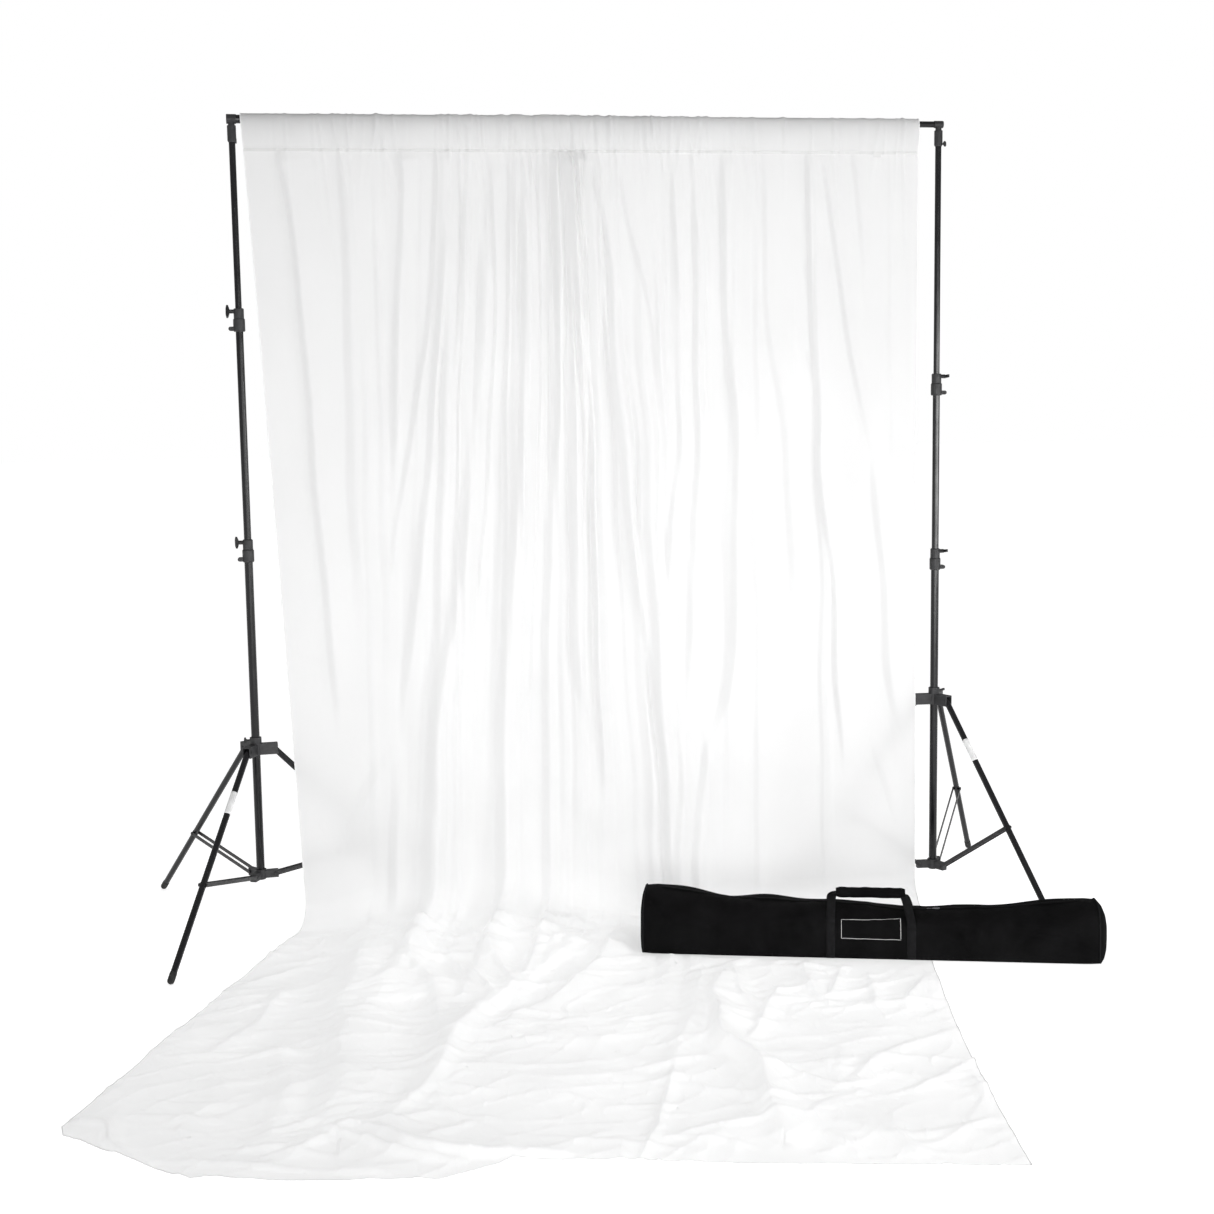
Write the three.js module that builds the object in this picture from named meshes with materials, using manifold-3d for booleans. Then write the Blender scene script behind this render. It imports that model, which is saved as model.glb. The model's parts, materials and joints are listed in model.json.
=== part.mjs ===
// Background support system: two folding light stands, a telescopic crossbar between them, a muslin
// backdrop hanging from the crossbar by its rod pocket, and the kit's carry bag.
// Millimetres, +Z up. +X runs along the crossbar, and -Y is the side the backdrop is used from.
import * as THREE from 'three';
import { mergeVertices } from 'three/addons/utils/BufferGeometryUtils.js';
import Module from 'manifold-3d';

const wasm = await Module();
wasm.setup();

// ---- driving dimensions -------------------------------------------------------------------------
const BAR_HEIGHT = 2440;        // crossbar axis above the floor
const STAND_SPACING = 2168;     // between the two stand axes
const GAP = 0.4;                // running clearance between pieces

const TUBE_WALL = 1.2;
const LOWER_TUBE = { radius: 12.7, length: 1020 };
const MIDDLE_TUBE = { radius: 11.1, length: 1000 };
const TOP_TUBE = { radius: 9.55, length: 1010 };

const LEG = { radius: 9.5, length: 754, topEnd: 8, strutJoint: 453 };
const LEG_BAND = { radius: 10.4, height: 12 };
const FOOT_CAP = { radius: 10.5, length: 24, solidEnd: 9 };
const STRUT = { length: 331, width: 9, thickness: 2.5, inner: 10.8 };
const PIN = { radius: 2.6, headRadius: 4.5, headHeight: 1.5 };

const HUB = { radius: 18, height: 34, arm: 66, armWidth: 26, web: 3.5, slotStart: 27, pivot: 55, neck: 20 };
const BRACKET = { radius: 17.5, height: 32, floor: 4, lug: 54, lugWidth: 19.2, lugHeight: 24, pivot: 45 };
const COLLAR = { radius: 17.5, upperRadius: 15.2, lowerPart: 38, upperPart: 31, bossReach: 2, edge: 2 };
const EAR = { reach: 32, radius: 6.4, width: 15, drop: 29, boltRadius: 3.2, boltHead: 2 };
const COLLAR_KNOB = { drop: 9, stemRadius: 6.2, reach: 10, wing: 40, thickness: 8.5, depth: 11 };
const HUB_KNOB = { rise: 29, stemRadius: 2.6, reach: 9, wing: 17, thickness: 6, depth: 8 };
const SLEEVE_KNOB = { stemRadius: 2.6, reach: 2, wing: 16, thickness: 14, depth: 9 };
const SCREW_RADIUS = 2.4;
const THROUGH = 99;             // reach of a tool that cuts right through or out of a piece

const SLEEVE = { radius: 13, height: 49, top: BAR_HEIGHT - 18, knobRise: 7 };
const TOP_TUBE_END = SLEEVE.top - 22;
const SPIGOT = { radius: 7.6, flange: 9.5, root: -4 };    // root: its top, from the bar's axis

const BAR_SECTIONS = [LOWER_TUBE.radius, MIDDLE_TUBE.radius, TOP_TUBE.radius];
const BAR_SECTION_LENGTH = 1250;
const BAR_OVERHANG = 12;        // crossbar end past the stand axis
const END_CAP = { length: 28, wall: 1.2, face: 2 };
const FERRULE = { wall: 1.1, length: 40, ribs: 8, ribHalf: 1, ribProud: 0.6 };

const MUSLIN = {
  thickness: 0.8,
  sweepThickness: 1.2,
  topLeft: -1058,
  topRight: 1017,
  floorLeft: -947,
  floorRight: 1012,
  pocketInner: 15.8,
  pocketDepth: 92,
  pocketWaist: 25,              // below the bar's axis, where the pocket's two sides draw together
  seamHalf: 1.2,                // half the pocket's thickness at its seam
  seamAllowance: 8,
  floorY: -46,
};
// Where the cloth lies on the floor: its outline from the foot of the drop round to the front.
const SWEEP_OUTLINE = [
  [MUSLIN.floorLeft, -50],
  [-1484, -1488],
  [-1172, -1827],
  [-655, -1924],
  [580, -2090],
  [827, -762],
  [MUSLIN.floorRight, -50],
];

const BAG = {
  length: 1305,
  depth: 190,
  roundness: { top: 2.6, bottom: 8 },   // exponents of the section: 2 is an ellipse, more is squarer
  wall: 3,
  turn: -15.8,                  // degrees about +Z from the crossbar's line
  centre: [676.9, -601.8],
  handle: 8,                    // handle centre, along the bag from its middle
};
// The bag's height at distances along it from its middle: it sags between its two fuller ends.
const BAG_HEIGHTS = [
  [-BAG.length / 2, 175],
  [-400, 144],
  [-150, 134],
  [0, 130],
  [120, 113],
  [170, 115],
  [BAG.length / 2, 158],
];
const ZIP = { width: 2, reach: 0.46 };
const WEBBING = { width: 25, thickness: 1.6, spacing: 230, topAngle: 16 };
const GRIP = { length: 200, radius: 16.5, height: 163, endDrop: 4, endLength: 5 };
const GRIP_STRAP = { width: 20, thickness: 3.2, depth: 60 };
// The handle's webbing between its feet and its peak: half its spread, and height above its feet.
const HANDLE_RISE = [[80, 26], [62, 45]];
const HANDLE_PEAK_HALF = 5;
const ZIP_SLIDER = { length: 16, width: 9, height: 4, along: 200 };
const ZIP_PULL = { length: 22, width: 6, thickness: 1.8, hold: 3, proud: 0.3 };

// Each stand: where it stands, how high its hub is set, where its legs point (degrees from +X), how
// high its upper collar is set, which side its knobs face and how each knob's wing is turned.
const STANDS = [
  {
    name: 'left',
    x: -STAND_SPACING / 2,
    hubHeight: 553.8,
    firstLeg: 6.03,
    upperCollar: 1859,
    knobTurn: 180,
    wingTurns: { lower: -35, upper: 28, hub: 20 },
    sleeveKnobTurn: 75,
  },
  {
    name: 'right',
    x: STAND_SPACING / 2,
    hubHeight: 621,
    firstLeg: 56.4,
    upperCollar: 1637,
    knobTurn: 0,
    wingTurns: { lower: 82, upper: 84, hub: 70 },
    sleeveKnobTurn: -25,
  },
];

const ROUND = 16;               // sides of a tube
const SMALL_ROUND = 8;          // sides of a pin, screw or boss
const deg = THREE.MathUtils.degToRad;

// ---- materials ----------------------------------------------------------------------------------
const paint = (color, roughness, metalness) => ({ color, roughness, metalness });
const FINISH = {
  tube: paint(0x141414, 0.3, 0.6),
  casting: paint(0x2c2c2d, 0.55, 0.1),
  knob: paint(0x1b1b1b, 0.5, 0.0),
  steel: paint(0x3a3a3b, 0.4, 0.8),
  rubber: paint(0x0d0d0d, 0.85, 0.0),
  muslin: paint(0xf2f2f1, 0.9, 0.0),
  bag: paint(0x16161a, 0.85, 0.0),
  webbing: paint(0x0f0f11, 0.8, 0.0),
};

// ---- solids -------------------------------------------------------------------------------------
function signedVolume(position, index) {
  const corners = [new THREE.Vector3(), new THREE.Vector3(), new THREE.Vector3()];
  let volume = 0;
  for (let i = 0; i < index.length; i += 3) {
    corners.forEach((corner, k) => corner.fromBufferAttribute(position, index[i + k]));
    volume += corners[0].dot(corners[1].cross(corners[2])) / 6;
  }
  return volume;
}

// A closed three.js geometry as a solid with its faces pointing out.
function solid(geometry) {
  const bare = geometry.clone();
  bare.deleteAttribute('normal');
  bare.deleteAttribute('uv');
  const merged = mergeVertices(bare, 1e-3);
  const index = Array.from(merged.index.array);
  if (signedVolume(merged.attributes.position, index) < 0) {
    index.reverse();
  }
  const triangles = [];
  for (let i = 0; i < index.length; i += 3) {
    const [a, b, c] = index.slice(i, i + 3);
    if (a !== b && b !== c && c !== a) {
      triangles.push(a, b, c);
    }
  }
  return new wasm.Manifold(new wasm.Mesh({
    numProp: 3,
    vertProperties: new Float32Array(merged.attributes.position.array),
    triVerts: new Uint32Array(triangles),
  }));
}

function geometryOf(manifold) {
  const mesh = manifold.getMesh();
  const geometry = new THREE.BufferGeometry();
  geometry.setAttribute('position', new THREE.BufferAttribute(mesh.vertProperties, 3));
  geometry.setIndex(new THREE.BufferAttribute(mesh.triVerts, 1));
  return geometry;
}

const fuse = (...solids) => solids.reduce((whole, part) => whole.add(part));
const cut = (whole, ...tools) => tools.reduce((rest, tool) => rest.subtract(tool), whole);

// A profile of [radius, height] points turned about +Z. It starts and ends on the axis, or closes.
function turned(profile, sides = ROUND) {
  const points = profile.map(([radius, height]) => new THREE.Vector2(radius, height));
  return new THREE.LatheGeometry(points, sides).rotateX(Math.PI / 2);
}

// A round bar or hole along +Z, from one height to another.
function rod(radius, from, to, sides = SMALL_ROUND) {
  return turned([[0, from], [radius, from], [radius, to], [0, to]], sides);
}

function box(min, max) {
  const size = max.map((value, i) => value - min[i]);
  const centre = max.map((value, i) => (value + min[i]) / 2);
  return new THREE.BoxGeometry(...size).translate(...centre);
}

// A flat outline of [x, y] points with optional holes, raised from z = 0 to the given height.
function plate(outline, height, holes = []) {
  const shape = new THREE.Shape(outline.map(([x, y]) => new THREE.Vector2(x, y)));
  shape.holes = holes.map((hole) => new THREE.Path(hole.map(([x, y]) => new THREE.Vector2(x, y))));
  return new THREE.ExtrudeGeometry(shape, { depth: height, bevelEnabled: false });
}

// Points of a circle's arc, from one angle to another in degrees.
function arc(x, y, radius, from, to, steps) {
  return Array.from({ length: steps + 1 }, (_, i) => {
    const angle = deg(from + (to - from) * i / steps);
    return [x + radius * Math.cos(angle), y + radius * Math.sin(angle)];
  });
}

function piece(name, shape, finish) {
  const mesh = new THREE.Mesh(geometryOf(shape), new THREE.MeshStandardMaterial(finish));
  mesh.name = name;
  return mesh;
}

function at(object, x, y, z) {
  object.position.set(x, y, z);
  return object;
}

// A group turned about +Z, for what points away from a stand's axis.
function turnedGroup(degrees, ...members) {
  const group = new THREE.Group();
  group.rotation.z = deg(degrees);
  group.add(...members);
  return group;
}

// ---- tubes, collars and knobs ---------------------------------------------------------------------
function tube({ radius, length }) {
  const bore = radius - TUBE_WALL;
  return solid(turned([[bore, 0], [radius, 0], [radius, length], [bore, length], [bore, 0]]));
}

// A collar on the top end of a tube: its lower part grips that tube, the narrower upper part guides
// the next tube, a screw enters near its top and a clamp bolt goes through the ear near its bottom.
// Its origin is on the axis at the lower tube's top end, and its knob faces +X.
function collar(lower, upper) {
  const { radius, upperRadius, lowerPart, upperPart, edge } = COLLAR;
  const body = solid(turned([
    [0, -lowerPart],
    [radius - edge, -lowerPart],
    [radius, -lowerPart + 1.5 * edge],
    [radius, -edge],
    [upperRadius, edge / 2],
    [upperRadius, upperPart - edge],
    [upperRadius - edge, upperPart],
    [0, upperPart],
  ]));
  const boss = rod(COLLAR_KNOB.stemRadius, 0, upperRadius + COLLAR.bossReach).rotateY(Math.PI / 2);
  const ear = plate([
    [0, -EAR.radius],
    ...arc(EAR.reach - EAR.radius, 0, EAR.radius, -90, 90, 6),
    [0, EAR.radius],
  ], EAR.width).translate(0, 0, -EAR.width / 2).rotateX(Math.PI / 2);
  const boltEnd = EAR.width / 2 + EAR.boltHead;
  const bolt = rod(EAR.boltRadius, -boltEnd, boltEnd, 6).rotateX(Math.PI / 2);
  const whole = fuse(
    body,
    solid(boss.translate(0, 0, upperPart - COLLAR_KNOB.drop)),
    solid(ear.translate(0, 0, -EAR.drop)),
    solid(bolt.translate(EAR.reach - EAR.radius, 0, -EAR.drop)),
  );
  return cut(
    whole,
    solid(rod(lower.radius + GAP, -lowerPart - 1, GAP, ROUND)),
    solid(rod(upper.radius + GAP, -1, upperPart + 1, ROUND)),
    solid(screwHole(upperPart - COLLAR_KNOB.drop)),
  );
}

// The hole that a knob's screw runs in, along +X at the given height.
function screwHole(height) {
  return rod(SCREW_RADIUS + GAP, 0, THROUGH).rotateY(Math.PI / 2).translate(0, 0, height);
}

// A winged screw pointing away from the axis along +X. Its origin is on the tube's axis, and its tip
// stops clear of the tube of the given radius.
function wingScrew({ stemRadius, reach, wing, thickness, depth }, tubeRadius, seat) {
  const screw = rod(SCREW_RADIUS, tubeRadius + GAP, seat + 2);
  const stem = rod(stemRadius, seat + GAP, seat + reach + 1);
  const grip = plate([
    [seat + reach, -wing * 0.2],
    [seat + reach + depth * 0.35, -wing / 2],
    [seat + reach + depth * 0.8, -wing / 2],
    [seat + reach + depth, -wing * 0.25],
    [seat + reach + depth, wing * 0.25],
    [seat + reach + depth * 0.8, wing / 2],
    [seat + reach + depth * 0.35, wing / 2],
    [seat + reach, wing * 0.2],
  ], thickness).translate(0, 0, -thickness / 2).rotateX(Math.PI / 2);
  return fuse(
    solid(screw.rotateY(Math.PI / 2)),
    solid(stem.rotateY(Math.PI / 2)),
    solid(grip),
  );
}

// ---- hub, bracket, legs and struts ----------------------------------------------------------------
// A pin along Y at the origin of its own pivot, with a head on each side.
function pin(halfLength) {
  const head = PIN.headHeight;
  return solid(turned([
    [0, -halfLength - head],
    [PIN.headRadius, -halfLength - head],
    [PIN.headRadius, -halfLength],
    [PIN.radius, -halfLength],
    [PIN.radius, halfLength],
    [PIN.headRadius, halfLength],
    [PIN.headRadius, halfLength + head],
    [0, halfLength + head],
  ], SMALL_ROUND).rotateX(Math.PI / 2));
}

const LEG_ANGLES = [0, 120, 240];

// The same solid repeated at each leg's angle, built from a maker so that every copy is its own.
function forEachLeg(make) {
  return LEG_ANGLES.map((angle) => make().rotate([0, 0, angle]));
}

// The sliding hub: a ring on the lower tube with three open-ended channel arms. Each arm's pin is the
// pivot of one leg. The neck above the arms takes the locking screw. Its origin is on the axis at
// the height of the leg pivots.
function hub(firstLeg, knobTurn) {
  const half = HUB.height / 2;
  const width = HUB.armWidth / 2;
  const channel = LEG.radius + GAP;
  const ring = solid(rod(HUB.radius, -half, half + HUB.neck, ROUND));
  const arms = forEachLeg(() => solid(box([HUB.radius / 2, -width, -half], [HUB.arm, width, half])));
  const slots = forEachLeg(() => solid(box(
    [HUB.slotStart, -channel, -THROUGH],
    [THROUGH, channel, half - HUB.web],
  )));
  const bore = solid(rod(LOWER_TUBE.radius + GAP, -THROUGH, THROUGH, ROUND));
  const pins = forEachLeg(() => pin(width).translate([HUB.pivot, 0, 0]));
  const frame = fuse(cut(fuse(ring, ...arms), ...slots, bore), ...pins).rotate([0, 0, firstLeg]);
  return cut(frame, solid(screwHole(HUB_KNOB.rise)).rotate([0, 0, knobTurn]));
}

// The fixed bracket that closes the bottom of the lower tube, with three lugs for the struts.
// Its origin is on the axis at the height of the strut pivots.
function bracket(firstLeg) {
  const half = BRACKET.height / 2;
  const cup = solid(turned([
    [0, -half],
    [BRACKET.radius - 3, -half],
    [BRACKET.radius, -half + 3],
    [BRACKET.radius, half],
    [0, half],
  ]));
  const width = BRACKET.lugWidth / 2;
  const lugs = forEachLeg(() => solid(box(
    [BRACKET.radius / 2, -width, -BRACKET.lugHeight / 2],
    [BRACKET.lug, width, BRACKET.lugHeight / 2],
  )));
  const bore = solid(rod(LOWER_TUBE.radius + GAP, -half + BRACKET.floor, THROUGH, ROUND));
  const pinHoles = forEachLeg(() => solid(
    rod(PIN.radius + GAP, -width - 1, width + 1).rotateX(Math.PI / 2).translate(BRACKET.pivot, 0, 0),
  ));
  return cut(fuse(cup, ...lugs), bore, ...pinHoles).rotate([0, 0, firstLeg]);
}

// A leg hanging straight down from its pivot at the origin, with the band that the strut meets.
function leg() {
  const reach = LEG.length - FOOT_CAP.solidEnd - 1;
  const bore = LEG.radius - TUBE_WALL;
  const joint = -LEG.strutJoint;
  const half = LEG_BAND.height / 2;
  const shell = solid(turned([
    [bore, -reach],
    [LEG.radius, -reach],
    [LEG.radius, joint - half],
    [LEG_BAND.radius, joint - half],
    [LEG_BAND.radius, joint + half],
    [LEG.radius, joint + half],
    [LEG.radius, LEG.topEnd],
    [bore, LEG.topEnd],
    [bore, -reach],
  ]));
  return cut(shell, solid(rod(PIN.radius + GAP, -THROUGH, THROUGH).rotateX(Math.PI / 2)));
}

// The rubber cap on a leg's lower end, in the leg's own frame: a sleeve with a domed bottom.
function footCap() {
  const bottom = -LEG.length;
  const bore = LEG.radius + GAP / 2;
  return solid(turned([
    ...arc(0, bottom, FOOT_CAP.radius, -90, 0, 4),
    [FOOT_CAP.radius, bottom + FOOT_CAP.length],
    [bore, bottom + FOOT_CAP.length],
    [bore, bottom + FOOT_CAP.solidEnd],
    [0, bottom + FOOT_CAP.solidEnd],
  ]));
}

// A strut lying along +X from its pivot at the origin: two flat bars, one on each side of the leg,
// joined by the pin through the bracket's lug. The rivet heads at the far end close the bars.
function strut() {
  const { length, width, thickness, inner } = STRUT;
  const end = width / 2 + 1;
  const outline = [
    ...arc(0, 0, end, 90, 270, 6),
    ...arc(length, 0, end, -90, 90, 6),
  ];
  const bar = () => plate(outline, thickness).rotateX(Math.PI / 2);
  const rivet = () => rod(PIN.headRadius, 0, PIN.headHeight + 1, SMALL_ROUND).rotateX(-Math.PI / 2);
  return fuse(
    solid(bar().translate(0, inner + thickness, 0)),
    solid(bar().translate(0, -inner, 0)),
    pin(inner + thickness),
    solid(rivet().translate(length, inner + thickness - 1, 0)),
    solid(rivet().rotateX(Math.PI).translate(length, -inner - thickness + 1, 0)),
  );
}

// ---- the top of a stand ---------------------------------------------------------------------------
// The sleeve on the top tube that the crossbar's spigot drops into, in the stand's frame.
function sleeve() {
  const bottom = SLEEVE.top - SLEEVE.height;
  const tubeTop = TOP_TUBE_END + GAP;
  const body = solid(turned([
    [0, bottom],
    [SLEEVE.radius - 2.5, bottom],
    [SLEEVE.radius, bottom + 4],
    [SLEEVE.radius, SLEEVE.top - 1.5],
    [SLEEVE.radius - 1.5, SLEEVE.top],
    [0, SLEEVE.top],
  ]));
  return cut(
    body,
    solid(rod(TOP_TUBE.radius + GAP, bottom - 1, tubeTop, ROUND)),
    solid(rod(SPIGOT.radius + GAP, bottom, SLEEVE.top + 1, ROUND)),
  );
}

// ---- one stand ------------------------------------------------------------------------------------
// Leg and strut angles that put the feet on the floor for a given hub height.
function linkage(hubHeight) {
  const legTilt = Math.acos((hubHeight - FOOT_CAP.radius) / LEG.length);
  const jointRadius = HUB.pivot + LEG.strutJoint * Math.sin(legTilt);
  const jointHeight = hubHeight - LEG.strutJoint * Math.cos(legTilt);
  const strutRise = Math.acos((jointRadius - BRACKET.pivot) / STRUT.length);
  return { legTilt, strutRise, bracketHeight: jointHeight - STRUT.length * Math.sin(strutRise) };
}

function legSet(name, angle, number, hubHeight) {
  const { legTilt, strutRise, bracketHeight } = linkage(hubHeight);
  const legMeshes = [
    piece(`${name}_leg_${number}`, leg(), FINISH.tube),
    piece(`${name}_foot_cap_${number}`, footCap(), FINISH.rubber),
  ];
  for (const mesh of legMeshes) {
    at(mesh, HUB.pivot, 0, hubHeight).rotation.y = -legTilt;
  }
  const strutMesh = piece(`${name}_strut_${number}`, strut(), FINISH.steel);
  at(strutMesh, BRACKET.pivot, 0, bracketHeight).rotation.y = -strutRise;
  return turnedGroup(angle, ...legMeshes, strutMesh);
}

// A knob turned about its own screw, facing the given way round the stand.
function facing(mesh, degrees, wingTurn, height) {
  mesh.rotation.x = deg(wingTurn);
  mesh.position.z = height;
  return turnedGroup(degrees, mesh);
}

function buildStand({ name, x, hubHeight, firstLeg, upperCollar, knobTurn, wingTurns, sleeveKnobTurn }) {
  const stand = at(new THREE.Group(), x, 0, 0);
  const { bracketHeight } = linkage(hubHeight);
  const tubeFoot = bracketHeight - BRACKET.height / 2 + BRACKET.floor + GAP;
  const lowerCollar = tubeFoot + LOWER_TUBE.length;
  const knobDrop = COLLAR.upperPart - COLLAR_KNOB.drop;
  const seat = COLLAR.upperRadius + COLLAR.bossReach;

  stand.add(
    at(piece(`${name}_lower_bracket`, bracket(firstLeg), FINISH.casting), 0, 0, bracketHeight),
    at(piece(`${name}_lower_tube`, tube(LOWER_TUBE), FINISH.tube), 0, 0, tubeFoot),
    at(piece(`${name}_hub`, hub(firstLeg, knobTurn), FINISH.casting), 0, 0, hubHeight),
    facing(
      piece(`${name}_hub_knob`, wingScrew(HUB_KNOB, LOWER_TUBE.radius, HUB.radius), FINISH.knob),
      knobTurn, wingTurns.hub, hubHeight + HUB_KNOB.rise,
    ),
  );
  LEG_ANGLES.forEach((angle, i) => stand.add(legSet(name, firstLeg + angle, i + 1, hubHeight)));

  const collars = [
    { level: 'lower', height: lowerCollar, below: LOWER_TUBE, above: MIDDLE_TUBE },
    { level: 'upper', height: upperCollar, below: MIDDLE_TUBE, above: TOP_TUBE },
  ];
  for (const { level, height, below, above } of collars) {
    const body = piece(`${name}_${level}_collar`, collar(below, above), FINISH.casting);
    const screw = wingScrew(COLLAR_KNOB, above.radius, seat);
    const knob = piece(`${name}_${level}_collar_knob`, screw, FINISH.knob);
    stand.add(
      turnedGroup(knobTurn, at(body, 0, 0, height)),
      facing(knob, knobTurn, wingTurns[level], height + knobDrop),
    );
  }

  const sleeveKnobHeight = SLEEVE.top - SLEEVE.height + SLEEVE.knobRise;
  const sleeveBody = cut(
    sleeve(),
    solid(screwHole(0)).rotate([0, 0, sleeveKnobTurn]).translate([0, 0, sleeveKnobHeight]),
  );
  stand.add(
    at(piece(`${name}_middle_tube`, tube(MIDDLE_TUBE), FINISH.tube), 0, 0, upperCollar - MIDDLE_TUBE.length),
    at(piece(`${name}_top_tube`, tube(TOP_TUBE), FINISH.tube), 0, 0, TOP_TUBE_END - TOP_TUBE.length),
    piece(`${name}_top_sleeve`, sleeveBody, FINISH.casting),
    facing(
      piece(`${name}_sleeve_knob`, wingScrew(SLEEVE_KNOB, TOP_TUBE.radius, SLEEVE.radius), FINISH.knob),
      sleeveKnobTurn, 0, sleeveKnobHeight,
    ),
  );
  return stand;
}

// ---- crossbar -------------------------------------------------------------------------------------
const BAR_HALF = STAND_SPACING / 2 + BAR_OVERHANG;

// A capped end of the crossbar, with the spigot that drops into a stand's sleeve. Its origin is on
// the stand's axis at the bar's axis, and the bar leaves along +X.
function barEnd(barRadius) {
  const radius = barRadius + GAP + END_CAP.wall;
  const outerFace = -BAR_OVERHANG - END_CAP.face;
  const cap = rod(radius, outerFace, outerFace + END_CAP.length, ROUND).rotateY(Math.PI / 2);
  const bore = rod(barRadius + GAP, -BAR_OVERHANG - GAP, THROUGH, ROUND).rotateY(Math.PI / 2);
  const spigotFoot = TOP_TUBE_END + 2 - BAR_HEIGHT;
  const neck = SLEEVE.top + GAP - BAR_HEIGHT;
  const spigot = solid(rod(SPIGOT.radius, spigotFoot, SPIGOT.root, ROUND));
  const flange = solid(rod(SPIGOT.flange, neck + 1, SPIGOT.root, ROUND));
  return cut(fuse(solid(cap), spigot, flange), solid(bore));
}

// A twist-lock ferrule on the open end of a crossbar section, with grip ribs. Along +X from that end.
function ferrule(outerTube, innerTube) {
  const { ribs: ribCount, ribHalf, ribProud } = FERRULE;
  const radius = outerTube + GAP + FERRULE.wall;
  const ribs = Array.from({ length: ribCount }, (_, i) => solid(box(
    [-FERRULE.length * 0.6, -ribHalf, radius - 1],
    [FERRULE.length * 0.2, ribHalf, radius + ribProud],
  )).rotate([360 * i / ribCount, 0, 0]));
  const body = solid(rod(radius, -FERRULE.length * 0.7, FERRULE.length * 0.3, ROUND).rotateY(Math.PI / 2));
  return cut(
    fuse(body, ...ribs),
    solid(rod(outerTube + GAP, -THROUGH, GAP, ROUND).rotateY(Math.PI / 2)),
    solid(rod(innerTube + GAP, -1, THROUGH, ROUND).rotateY(Math.PI / 2)),
  );
}

function buildCrossbar() {
  const bar = at(new THREE.Group(), 0, 0, BAR_HEIGHT);
  const names = ['crossbar_left_section', 'crossbar_middle_section', 'crossbar_right_section'];
  const travel = (2 * BAR_HALF - BAR_SECTION_LENGTH) / 2;
  names.forEach((name, i) => {
    const section = tube({ radius: BAR_SECTIONS[i], length: BAR_SECTION_LENGTH }).rotate([0, 90, 0]);
    bar.add(at(piece(name, section, FINISH.tube), -BAR_HALF + travel * i, 0, 0));
  });
  for (const i of [0, 1]) {
    const mouth = -BAR_HALF + travel * i + BAR_SECTION_LENGTH;
    const lock = piece(`crossbar_lock_${i + 1}`, ferrule(BAR_SECTIONS[i], BAR_SECTIONS[i + 1]), FINISH.knob);
    bar.add(at(lock, mouth, 0, 0));
  }
  const left = piece('crossbar_left_end', barEnd(BAR_SECTIONS[0]), FINISH.casting);
  const right = piece('crossbar_right_end', barEnd(BAR_SECTIONS[2]), FINISH.casting);
  bar.add(
    at(left, -STAND_SPACING / 2, 0, 0),
    at(turnedGroup(180, right), STAND_SPACING / 2, 0, 0),
  );
  return bar;
}

// ---- muslin ---------------------------------------------------------------------------------------
// The rod pocket: a flattened loop of cloth over the crossbar, sewn shut below it.
function pocket() {
  const loop = (radius, foot, flat) => [
    ...arc(0, 0, radius, 0, 180, 10),
    [-radius * 0.8, -MUSLIN.pocketWaist],
    [-flat, foot],
    [flat, foot],
    [radius * 0.8, -MUSLIN.pocketWaist],
  ];
  const inner = MUSLIN.pocketInner;
  const hollowFoot = MUSLIN.seamAllowance - MUSLIN.pocketDepth;
  const outer = loop(inner + MUSLIN.thickness, -MUSLIN.pocketDepth, MUSLIN.seamHalf);
  const hollow = loop(inner, hollowFoot, MUSLIN.seamHalf / 2);
  const band = plate(outer, MUSLIN.topRight - MUSLIN.topLeft, [hollow]);
  return solid(band.rotateX(Math.PI / 2).rotateZ(Math.PI / 2).translate(MUSLIN.topLeft, 0, BAR_HEIGHT));
}

// The hanging cloth, leaning slightly forward from the pocket's seam to the floor.
function drop() {
  const top = BAR_HEIGHT - MUSLIN.pocketDepth - GAP;
  const bottom = MUSLIN.sweepThickness + 2 * GAP;
  const sheet = plate([
    [MUSLIN.floorLeft, bottom],
    [MUSLIN.floorRight, bottom],
    [MUSLIN.topRight, top],
    [MUSLIN.topLeft, top],
  ], MUSLIN.thickness);
  const lean = Math.atan2(-MUSLIN.floorY, top);
  return solid(sheet.rotateX(Math.PI / 2 - lean).translate(0, MUSLIN.floorY, 0));
}

function buildMuslin() {
  const muslin = new THREE.Group();
  muslin.add(
    piece('muslin_pocket', pocket(), FINISH.muslin),
    piece('muslin_drop', drop(), FINISH.muslin),
    piece('muslin_sweep', solid(plate(SWEEP_OUTLINE, MUSLIN.sweepThickness)), FINISH.muslin),
  );
  return muslin;
}

// ---- carry bag ------------------------------------------------------------------------------------
// Height of the bag's top at a distance along it from its middle.
function bagTop(along) {
  const next = BAG_HEIGHTS.findIndex(([station]) => station >= along);
  const [from, low] = BAG_HEIGHTS[Math.max(next - 1, 0)];
  const [to, high] = BAG_HEIGHTS[Math.max(next, 1)];
  return low + (high - low) * (along - from) / (to - from);
}

// A point [y, z] on the bag's rounded cross-section, offset outwards. Angles run from the back
// (0 degrees) over the top (90) to the front (180) and under the bottom (270).
function bagSection(height, angle, offset) {
  const power = 2 / (Math.sin(deg(angle)) > 0 ? BAG.roundness.top : BAG.roundness.bottom);
  const swell = (value) => Math.sign(value) * Math.abs(value) ** power;
  return [
    (BAG.depth / 2 + offset) * swell(Math.cos(deg(angle))),
    height / 2 + (height / 2 + offset) * swell(Math.sin(deg(angle))),
  ];
}

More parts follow.
